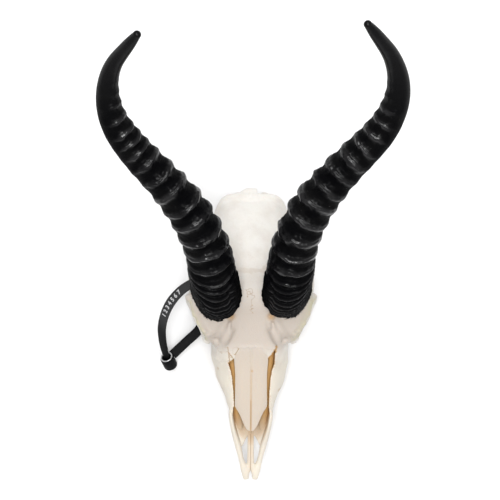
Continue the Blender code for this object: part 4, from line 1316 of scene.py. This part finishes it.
nose = {
    "bend": (-60.0, -175.0, -0.6),  # the tip lies this far to the animal's right
    "nasalRows": [  # y, inner x, outer x
        (-69.4, 0.03, 5.2), (-71.6, 0.03, 8.8), (-75.0, 0.03, 11.4), (-79.2, 0.03, 12.5),
        (-86, 0.03, 12.1), (-92, 0.03, 11.8), (-105, 0.03, 11.9), (-114, 0.04, 12.1),
        (-117, 0.04, 11.2), (-119.5, 0.05, 9.6), (-123, 0.05, 7.9), (-130, 0.07, 5.0),
        (-133.5, 0.1, 2.8), (-134.6, 0.2, 1.6),
    ],
    "nasalForm": {
        "across": 22, "thick": 1.8, "lift": 0.4, "liftFrom": (-68.6, 6.0), "tipFall": 0.38,
        "archPower": 3.2,
        "innerDip": (0.5, 0.6), "outerDip": (0.3, 0.8),  # depth, width
        "swell": (0.3, 0.6, 3.5),  # height, where across, width
    },
    "outerBar": [  # x y z, half width, half height
        (3.3, -173.9, 24.4, 2.1, 1.2), (3.6, -171.5, 25.3, 2.5, 1.8), (4.4, -166, 26.4, 3.2, 2.2),
        (6.3, -161, 27.4, 2.2, 2.3), (7.6, -156, 28.5, 2.0, 2.6), (9.0, -150, 29.9, 2.3, 3.1),
        (10.2, -145, 31.3, 2.4, 3.7), (11.9, -138.7, 33.4, 2.35, 4.8), (13.7, -131, 36, 2.1, 6.4),
        (14.8, -124, 37.7, 1.9, 8), (14.9, -119.6, 37.4, 1.5, 7.6), (14.5, -112, 37.6, 0.9, 5.6),
    ],
    "innerBar": [
        (2.3, -169.2, 25.8, 1.3, 1.4), (1.5, -165.6, 26.3, 1.9, 1.5), (0.8, -160, 26.8, 1.9, 1.6),
        (0.7, -150, 27.4, 1.8, 1.6), (0.7, -141, 28.2, 1.75, 1.5), (0.8, -132, 28.6, 1.5, 1.3),
    ],
    "scrolls": [  # x y z, half width, half height
        [(9.6, -137, 30.0, 2.0, 1.0), (9.2, -129, 33.0, 3.6, 3.2), (10.4, -120, 37.6, 3.4, 4.8),
         (11.4, -110, 40.4, 3.2, 5.4), (12.0, -100, 44.2, 3.4, 6.0), (13.2, -86, 49.6, 3.8, 6.6),
         (14.4, -76, 54.0, 3.6, 6.4), (15.6, -70, 57.0, 3.0, 5.0)],
        [(4.8, -116, 45, 1.8, 1.8), (5.5, -100, 50, 2.4, 2.4), (6.5, -84, 55, 2.8, 2.8),
         (7.0, -74, 58, 2.6, 2.6)],
    ],
    "wall": [
        (0, -138, 29.2, 0.7, 1.6), (0, -128, 31, 0.7, 3.6), (0, -112, 33.5, 0.7, 6),
        (0, -92, 38, 0.8, 11), (0, -76, 42, 0.8, 13),
    ],
    # the clay that they are made in: low and high corner, grain, reach
    "muzzleClay": ((-2, -178, 18), (20, -108, 52), 0.42, 6),
    "scrollClay": ((-20, -138, 28), (20, -64, 66), 0.6, 5),
    "muzzleGap": [(3, -180), (0, -180), (0, -100), (3, -100)],  # nothing crosses the midline
}

def noseShift(y):
    # how far the nose is bent aside at each y
    start, end, shift = nose["bend"]
    return shift * np.clip((y - start) / (end - start), 0, None) ** 1.5


def bendNose(piece):
    points = tablePoints(piece.data)
    points[:, 0] += noseShift(points[:, 1])
    movePoints(piece.data, points)
    return piece


def nasalBone(word, side):
    form, face = nose["nasalForm"], skull["face"]
    crown = [(row[0], row[1]) for row in face]
    shoulder = [(row[0], row[2]) for row in face]
    fall = [(row[0], row[1] - row[3]) for row in face]
    (innerDip, innerWidth), (outerDip, outerWidth) = form["innerDip"], form["outerDip"]
    swellHeight, swellAt, swellWidth = form["swell"]
    rings = []
    for y, inner, outer in smoothRoute([Vector(row) for row in nose["nasalRows"]], 10):
        top = valueAt(crown, y) + min(0.0, form["tipFall"] * (y - crown[0][0]))
        lift = form["lift"] * fadeOut(y, *form["liftFrom"])
        line = []
        for k in range(form["across"] + 1):
            x = inner + (outer - inner) * (0.5 - 0.5 * math.cos(math.pi * k / form["across"]))
            dip = innerDip * math.exp(-(x - inner) / innerWidth)
            dip += outerDip * math.exp(-(outer - x) / outerWidth)
            swell = swellHeight * math.exp(-((x - swellAt * outer) / swellWidth) ** 2)
            arch = valueAt(fall, y) * (x / valueAt(shoulder, y)) ** form["archPower"]
            line.append(Vector((side * x, y, top - arch - dip + swell + lift)))
        under = [p - Vector((0, 0, form["thick"])) for p in reversed(line)]
        rings.append(line + under)
    return bendNose(loft("nasalBone_" + word, rings))


def premaxilla(word, side):
    (first, *low), (second, *high), *grain = nose["muzzleClay"]
    left, right = sorted((side * first, side * second))
    clay = Clay((left, *low), (right, *high), *grain)
    clay.add(tube("outer", side, nose["outerBar"], steps=8))
    clay.add(tube("inner", side, nose["innerBar"], around=20), 0.9)
    gap = planBlock("gap", [(-side * x, y) for x, y in nose["muzzleGap"]], 10, 60)
    clay.carve(gap, 0.3)
    return bendNose(keepLargest(clay.surface("muzzleBone_" + word)))


def noseScrolls(word, side):
    clay = Clay(*nose["scrollClay"])
    for stations in nose["scrolls"]:
        clay.add(tube("scroll", side, stations, around=20), 1.5)
    return bendNose(clay.surface("noseScroll_" + word))


def noseWall():
    return bendNose(tube("noseWall", 1, nose["wall"], around=16))


# teeth

teeth = {
    "sizes": [(6.0, 6.5), (7.0, 8.0), (7.5, 9.5), (10.0, 11.0), (12.5, 12.0), (13.5, 12.0)],
    "front": (16.8, -106.0, 7.6),
    "back": (23.2, -49.0, -1.05),
    "crownHeight": 20.0,
    "lowest": 0.08,
    "overlap": 0.2,
    "stain": (1.2, 0.8, 0.8),  # height above the chewing face, softness, strength
    "profile": [  # height above the chewing face, share of the full outline
        (1.0, 0.9), (0.5, 1.0), (0.2, 1.0), (0.05, 0.96), (0.0, 0.88), (0.03, 0.76), (0.07, 0.62),
        (0.015, 0.42), (0.05, 0.24), (0.08, 0.1),
    ],
    "around": 56,
    "squareness": 3.4,
    "waist": (0.16, 0.22),  # depth and width of the dip between the lobes on the tongue side
    "folds": (0.06, 6.0),  # depth and spacing of the upright folds on the cheek side
}


def crownShape():
    # one cheek tooth, a unit long and wide and one tall, its chewing face down at zero
    power, (dip, width), (depth, spacing) = teeth["squareness"], teeth["waist"], teeth["folds"]
    outline = []
    for t in (math.tau * (i + 0.5) / teeth["around"] for i in range(teeth["around"])):
        c, s = math.cos(t), math.sin(t)
        swell = 1 / (abs(c) ** power + abs(s) ** power) ** (1 / power)
        waist = dip * math.exp(-(s / width) ** 2) if c < 0 else 0.0
        folds = depth * math.cos(spacing * s) if c > 0 else 0.0
        outline.append((c * (swell * (1 - waist + folds)), s * swell))
    crown = loft("crownShape", [
        [Vector((x * grow / 2, y * grow / 2, z)) for x, y in outline] for z, grow in teeth["profile"]
    ])
    for point in crown.data.vertices:
        point.co = point.co / mm - tableZero
    return crown


def makeToothTree():
    # sets a crown on each point, as long and wide as the point says
    tree, given, gives = newTree(
        "toothRow", "GeometryNodeTree", {
            "Geometry": "Geometry", "Crown": "Object", "Side": 1.0, "Height": 0.02,
            "Material": "Material",
        }, {"Geometry": "Geometry"},
    )
    crown = addNode(tree, "GeometryNodeObjectInfo", Object=given["Crown"])
    width = times(tree, named(tree, "toothWidth"), given["Side"])
    size = addNode(tree, "ShaderNodeCombineXYZ", width, named(tree, "toothLength"), given["Height"])
    row = addNode(
        tree, "GeometryNodeInstanceOnPoints", Points=given["Geometry"],
        Instance=crown.outputs["Geometry"], Scale=size.outputs[0],
    )
    return endTree(tree, row.outputs[0], given, gives)


def toothRow(word, side, look):
    total = sum(length for length, _ in teeth["sizes"])
    front, back = Vector(teeth["front"]), Vector(teeth["back"])
    spots, start = [], 0.0
    for length, _ in teeth["sizes"]:
        spot = front.lerp(back, (start + length / 2) / total)
        spots.append(inFrame((side * spot.x, spot.y, max(spot.z, teeth["lowest"]))))
        start += length
    mesh = bpy.data.meshes.new("toothSpots")
    mesh.from_pydata(spots, [], [])
    storeValues(mesh, "toothWidth", [width * mm for _, width in teeth["sizes"]])
    lengths = [(length + teeth["overlap"]) * mm for length, _ in teeth["sizes"]]
    storeValues(mesh, "toothLength", lengths)
    piece, crown = linked("cheekTeeth_" + word, mesh), crownShape()
    withTree(piece, toothTree, {
        "Crown": crown, "Side": float(side), "Height": teeth["crownHeight"] * mm, "Material": look,
    })
    bpy.data.objects.remove(crown)
    faceOutwards(piece.data)
    points = tablePoints(piece.data)
    lowest = np.interp(points[:, 1], [front.y, back.y], [front.z, back.z])
    height, softness, strength = teeth["stain"]
    stain = np.exp(-np.abs(points[:, 2] - np.maximum(lowest, 0.0) - height) / softness)
    storeValues(piece.data, "stain", np.clip(stain, 0, 1) * strength)
    return finished(piece, look, ["cheek_teeth_" + word], 40)


# the tag

tag = {
    "strapThick": 1.4,
    "strap": [  # x y z, the way its flat face looks, half width
        (-64.6, -83.2, 9.0, (-0.2, -0.9, 0.5), 2.3),
        (-65.9, -79.8, 15.0, (-0.2, -0.9, 0.5), 2.4),
        (-67.1, -73.9, 20.5, (-0.4, -0.6, 0.7), 3.0),
        (-68.1, -66.6, 26.0, (-0.5, -0.3, 0.8), 3.4),
        (-68.0, -57.4, 34.0, (-0.5, -0.1, 0.9), 3.7),
        (-65.3, -47.0, 43.0, (-0.4, 0.0, 0.9), 3.7),
        (-60.4, -37.4, 50.0, (-0.2, 0.1, 0.9), 3.7),
        (-53.3, -29.2, 55.5, (0.0, 0.3, 0.9), 3.6),
        (-46.3, -24.1, 57.0, (0.3, 0.4, 0.9), 3.4),
        (-40.2, -21.4, 53.0, (0.7, 0.4, 0.5), 3.2),
        (-37.2, -21.5, 45.0, (1.0, 0.2, 0.1), 3.1),
        (-36.4, -25.5, 34.0, (1.0, 0.1, -0.2), 3.2),
        (-36.4, -33.0, 24.0, (0.8, 0.1, -0.5), 3.4),
        (-36.4, -43.0, 15.6, (0.4, 0.1, -0.8), 3.6),
        (-37.4, -52.5, 10.6, (0.1, 0.1, -1.0), 3.7),
        (-41.2, -60.8, 8.4, (0.0, 0.0, -1.0), 3.7),
        (-50.5, -69.6, 7.4, (0.0, 0.0, -1.0), 3.7),
        (-61.4, -79.9, 6.8, (0.0, 0.0, -1.0), 3.7),
    ],
    "strapSteps": 10,
    "strapCorner": 0.35,
    "digits": "1234567",
    "digitHeight": 3.4,
    "digitWeight": 0.12,
    "digitRaise": (0.03, 0.04),  # their foot above the strap, and half their thickness
    "digitsFrom": 5,  # station of the strap where the row starts
    "digitGap": 4.1,
    "lockMouth": (-65.5, -81.6, 12.8),
    "lockRun": (3.1, -7.4, -7.8),
    "lockRadius": 5.3,
    "lockRounding": 2.2,
    "mouthEdge": [(0.0, 0.5), (0.15, 0.15), (0.5, 0.0)],  # depth, how far in from the radius
    "bore": 3.7,
    "boreDepth": 6.5,
    "eyeletHeight": 0.9,
    "eyeletRadius": 4.8,
}


def strapFrames():
    columns = zip(*((Vector(row[:3]), Vector(row[3]), row[4]) for row in tag["strap"]))
    route, faces, widths = (smoothRoute(column, tag["strapSteps"]) for column in columns)
    frames = []
    for centre, along, face, width in zip(route, directions(route), faces, widths):
        across = along.cross(face).normalized()
        frames.append((centre, across, across.cross(along).normalized(), width))
    return frames


def makeStrap():
    half, corner = tag["strapThick"] / 2, tag["strapCorner"]
    rings = []
    for centre, across, rise, width in strapFrames():
        ring = []
        for sx, sz, start in ((1, 1, 0), (-1, 1, 90), (-1, -1, 180), (1, -1, 270)):
            middle = centre + across * (sx * (width - corner)) + rise * (sz * (half - corner))
            for turn in (0, 45, 90):
                t = math.radians(start + turn)
                ring.append(middle + across * (corner * math.cos(t)) + rise * (corner * math.sin(t)))
        rings.append(ring)
    return loft("strap", rings)


def lockBody():
    run, mouth = Vector(tag["lockRun"]), Vector(tag["lockMouth"])
    across, rise = crossways(run)
    way, length = run.normalized(), run.length
    radius, rounding = tag["lockRadius"], tag["lockRounding"]
    profile = [(depth, radius - less) for depth, less in tag["mouthEdge"]]
    profile.append((length - rounding, radius))
    for t in (math.radians(18 * k - 2) for k in range(1, 6)):
        depth = length - rounding + rounding * math.sin(t)
        profile.append((depth, radius - rounding + rounding * math.cos(t)))
    body = loft("tagMoulding", [
        circleAt(mouth + way * depth, across, rise, reach, 48) for depth, reach in profile
    ])
    bore = rod("bore", 1, mouth - way * 2, mouth + way * tag["boreDepth"], tag["bore"], 40)
    return cutBy(body, bore)


def makeTag(look):
    piece = joined("tagMoulding", [lockBody(), makeStrap()])
    return finished(piece, look, ["tag"])


def digitShape(digit):
    words = bpy.data.curves.new("digit", "FONT")
    words.body = digit
    words.align_x = words.align_y = "CENTER"
    words.size = tag["digitHeight"] * 1.38  # a digit is shorter than its type size
    words.extrude = tag["digitRaise"][1]
    words.offset = tag["digitWeight"]
    holder = linked("digit", words)
    shape = meshOf(holder)
    bpy.data.objects.remove(holder)
    return shape


def makeDigits(look):
    # plain digits in a row along the strap's upper face
    frames = strapFrames()
    gone = [0.0]
    for (first, *_), (second, *_) in zip(frames, frames[1:]):
        gone.append(gone[-1] + (second - first).length)
    begin = gone[tag["digitsFrom"] * tag["strapSteps"]]
    above = tag["strapThick"] / 2 + tag["digitRaise"][0]
    pieces = []
    for k, digit in enumerate(tag["digits"]):
        shape = digitShape(digit)
        spot = float(np.interp(begin + tag["digitGap"] * k, gone, range(len(gone))))
        (here, across, rise, _), (there, *_) = frames[int(spot)], frames[int(spot) + 1]
        centre = here.lerp(there, spot - int(spot))
        along = across.cross(rise).normalized()
        points = [
            centre - along * p.x - across * p.y + rise * (above + p.z)
            for p in (v.co for v in shape.vertices)
        ]
        pieces.append(shapeFrom("digit", points, [tuple(f.vertices) for f in shape.polygons]))
    return finished(joined("tagDigits", pieces), look, [], None)


def makeEyelet(look):
    run = Vector(tag["lockRun"])
    across, rise = crossways(run)
    way, outer, inner = run.normalized(), tag["eyeletRadius"], tag["bore"]
    tall = tag["eyeletHeight"] / 2
    centre = Vector(tag["lockMouth"]) - way * 0.3 - way * tall
    ways = [across * math.cos(t) + rise * math.sin(t) for t in turnsRound(64)]
    middles = [centre + w * ((outer + inner) / 2) for w in ways]
    ring = ringOf("tagEyelet", middles, ways, way, [((outer - inner) / 2, tall)] * 64, 12)
    return finished(ring, look, ["tag_eyelet"], None)


# colour by place

marks = {
    "warmth": [  # along the skull
        (-175, 0.3), (-120, 0.12), (-90, 0.14), (-76, 0.5), (-70, 0.95), (-62, 1.15), (-50, 1.25),
        (-38, 0.85), (-25, 0.5), (-12, 0.35), (-4, 0.12), (10, 0.0), (50, 0.0),
    ],
    "warmAbove": (60, 4),  # height, softness
    "creaminess": [(-86, 1.0), (-60, 0.0)],
    "probe": {"outwards": 2.0, "inwards": 1.6},  # where crowding and thickness are measured
    "thinFrom": (0.62, 0.22, 0.4),  # share of bone round the point, span, strength
    "thinRim": [(1, 3.6, 0.95), (-1, 1.6, 0.65)],  # side, width, strength
    "nostrilLining": [(-152, 0.0), (-138, 0.4), (-121, 1.0)],
    "browHoles": ((14.6, -46.8, 80), (2.6, 2.4, 9), 0.9),  # middle, half sizes, strength
    "nasalMiddle": (0.5, [(-134, 0.9), (-95, 0.8), (-84, 0.18)]),  # width, strength along
    "muzzleMiddle": (2.0, [(-172, 0.0), (-167, 0.22), (-140, 0.28), (-134, 0.0)]),
    "nasalSpot": (0.6, -87.8),
    "nowhere": 9.0,  # a distance that no seam's line reaches
}


def boxBlur(values, width):
    # the mean of each run of voxels, taken twice along each axis
    for axis in range(3):
        for _ in range(2):
            padded = np.concatenate([
                np.repeat(np.take(values, [0], axis), width + 1, axis), values,
                np.repeat(np.take(values, [-1], axis), width, axis),
            ], axis)
            total = np.cumsum(padded, axis, dtype=np.float32)
            wide = 2 * width + 1
            values = (
                np.take(total, range(wide, total.shape[axis]), axis)
                - np.take(total, range(0, total.shape[axis] - wide), axis)
            ) / wide
    return values

def acrossLines(points, routes):
    # distance in plan to the nearest line, negative on one side of it, so that zero is on the line
    best = signed = np.full(len(points), marks["nowhere"])
    for route in routes:
        for k, ((x0, y0), (x1, y1)) in enumerate(zip(route, route[1:])):
            run = np.array([x1 - x0, y1 - y0])
            away = points[:, :2] - (x0, y0)
            along = away @ run / (run @ run)
            far = np.linalg.norm(away - np.clip(along, 0, 1)[:, None] * run, axis=1)
            turn = np.where(run[0] * away[:, 1] - run[1] * away[:, 0] < 0, -1.0, 1.0)
            turn[(k == 0) & (along < 0)] = 1.0
            turn[(k == len(route) - 2) & (along > 1)] = 1.0
            signed = np.where(far < best, far * turn, signed)
            best = np.minimum(far, best)
    return signed


def insidePlan(points, outline):
    # whether each point lies within the closed outline, seen from above
    inside = np.zeros(len(points), bool)
    x, y = points[:, 0], points[:, 1]
    for (x0, y0), (x1, y1) in zip(outline, outline[1:] + outline[:1]):
        if y0 != y1:
            inside ^= ((y0 > y) != (y1 > y)) & (x < x0 + (x1 - x0) * (y - y0) / (y1 - y0))
    return inside


def bell(*shares):
    # one at the middle, falling off with each share of a width
    return np.exp(-sum(share ** 2 for share in shares))


def midlineStain(points, width, along):
    # brown along the middle of the nose
    return bell((points[:, 0] - noseShift(points[:, 1])) / width) * lineAt(along, points[:, 1])


def thinEdges(points, inside):
    most, span, strength = marks["thinFrom"]
    thin = strength * np.clip((most - inside) / span, 0, 1)
    for side, width, strength in marks["thinRim"]:
        edge = acrossLines(points * (side, 1, 1), skull["thinRim"])
        thin += strength * bell(edge / width) * (points[:, 2] > 48)
    return np.clip(thin, 0, 1) * (points[:, 1] > -70)


def skullStain(points, normals, noseClay):
    # brown in the nose, on the walls of the slits beside it, in small pits and the brow holes; the spots
    # at the pits are part stain, part painted shade
    x, y, z = points.T
    stain = np.clip((1.4 - noseClay.at(points)) / 0.8, 0, 1) * lineAt(marks["nostrilLining"], y)
    for outline in map(fissure, sides):
        edge = np.abs(acrossLines(points, [outline + outline[:1]]))
        walls = insidePlan(points, outline) | ((edge < 0.9) & (np.abs(normals[:, 2]) < 0.75))
        stain = np.maximum(stain, walls * (z > 30) * 1.0)
    for px, py, radius in skull["pits"]:
        pitStainAndShade = np.exp(-((x - px) ** 2 + (y - py) ** 2) / radius ** 2)
        stain = np.maximum(stain, 0.8 * pitStainAndShade * (z > 26))
    (hx, hy, hz), (wide, long, tall), strength = marks["browHoles"]
    holes = sum(
        bell((x - side * hx) / wide, (y - hy) / long, (z - hz) / tall) for side in sides.values()
    )
    return stain + strength * holes + midlineStain(points, *marks["muzzleMiddle"])


def measureBone(piece, solid, shares, noseClay):
    # stores, for every point, how crowded and how thin the bone is there, and its stains
    mesh = piece.data
    nasal = piece.name.startswith("nasal")
    points, normals = tablePoints(mesh), rowsOf(mesh, "normal")
    x, y, z = points.T
    if nasal:
        spotX, spotY = marks["nasalSpot"]
        stain = midlineStain(points, *marks["nasalMiddle"])
        stain += 0.7 * bell((x - spotX) / 0.8, (y - spotY) / 0.9)
    else:
        stain = skullStain(points, normals, noseClay)
    warmAbove, softness = marks["warmAbove"]
    nowhere = marks["nowhere"]
    middle = (y < -26) & (y > -45) & (z > 70)
    crown = (np.abs(x) < 24) & (z > 60)
    faint = np.where(z > 50, acrossLines(points, skull["faintSeam"]), nowhere)
    inside = solid.at(points - normals * marks["probe"]["inwards"], shares["close"])
    for name, values in {
        # crowding darkens hollows in the bone's look: dirt and painted shade
        "crowding": solid.at(points + normals * marks["probe"]["outwards"], shares["wide"]),
        "thinness": thinEdges(points, inside) * (not nasal),
        "warmth": lineAt(marks["warmth"], y) * (1 / (1 + np.exp((warmAbove - z) / softness))),
        "creaminess": lineAt(marks["creaminess"], y) * (not nasal),
        "stain": np.clip(stain, 0, 1),
        "seamMiddle": np.where(middle, x + 0.3, faint),
        "seamCrown": np.where(crown, y + 13 - 0.012 * x * x, nowhere),
        "seamNose": np.where(z > 50, acrossLines(points, skull["slits"]), nowhere),
    }.items():
        storeValues(mesh, name, values)


# building everything

grainGroup = makeGrainGroup()
seamGroup = makeSeamGroup()
ringTree = makeRingTree()
toothTree = makeToothTree()
setUpStudio()
print("studio ready")

looks = {
    "skull": boneLook("skullBone", boneColours["pale"], 0.35),
    "nasal": boneLook("nasalBone", boneColours["nasal"], 0.2),
    "muzzle": boneLook("muzzleBone", boneColours["cream"], 0.3),
    "horn": hornLook(),
    "tooth": toothLook(),
    "plastic": plasticLook(),
    "metal": simpleLook("eyeletMetal", (0.55, 0.55, 0.56), 0.3, 0.8),
    "print": simpleLook("digitPrint", (0.58, 0.58, 0.59), 0.6),
}

skullPiece, skullClay = makeSkull()
noseClay = Clay(*skull["block"], 1.6, 5)
noseClay.add(skullBody("noseHollow", 1))
noseClay.add(noseTrough())
solidShare = np.clip(0.5 - skullClay.field / skullClay.grain, 0, 1)
shares = {"wide": boxBlur(solidShare, 5), "close": boxBlur(solidShare, 2)}
bones = [(skullPiece, "skull", [
    "braincase", "frontal", "occiput", "maxilla_left", "maxilla_right", "zygomatic_left",
    "zygomatic_right",
])]
for word, side in sides.items():
    bones += [
        (nasalBone(word, side), "nasal", ["nasal_" + word]),
        (premaxilla(word, side), "muzzle", ["premaxilla_" + word]),
        (noseScrolls(word, side), "skull", []),
    ]
bones.append((noseWall(), "skull", []))
for piece, look, nodes in bones:
    measureBone(piece, skullClay, shares, noseClay)
    finished(piece, looks[look], nodes, 55 if look == "nasal" else None)
print("bones finished")
for word, side in sides.items():
    toothRow(word, side, looks["tooth"])
    makeHorn(word, side, looks["horn"])
makeTag(looks["plastic"])
makeDigits(looks["print"])
makeEyelet(looks["metal"])
print("all pieces made")
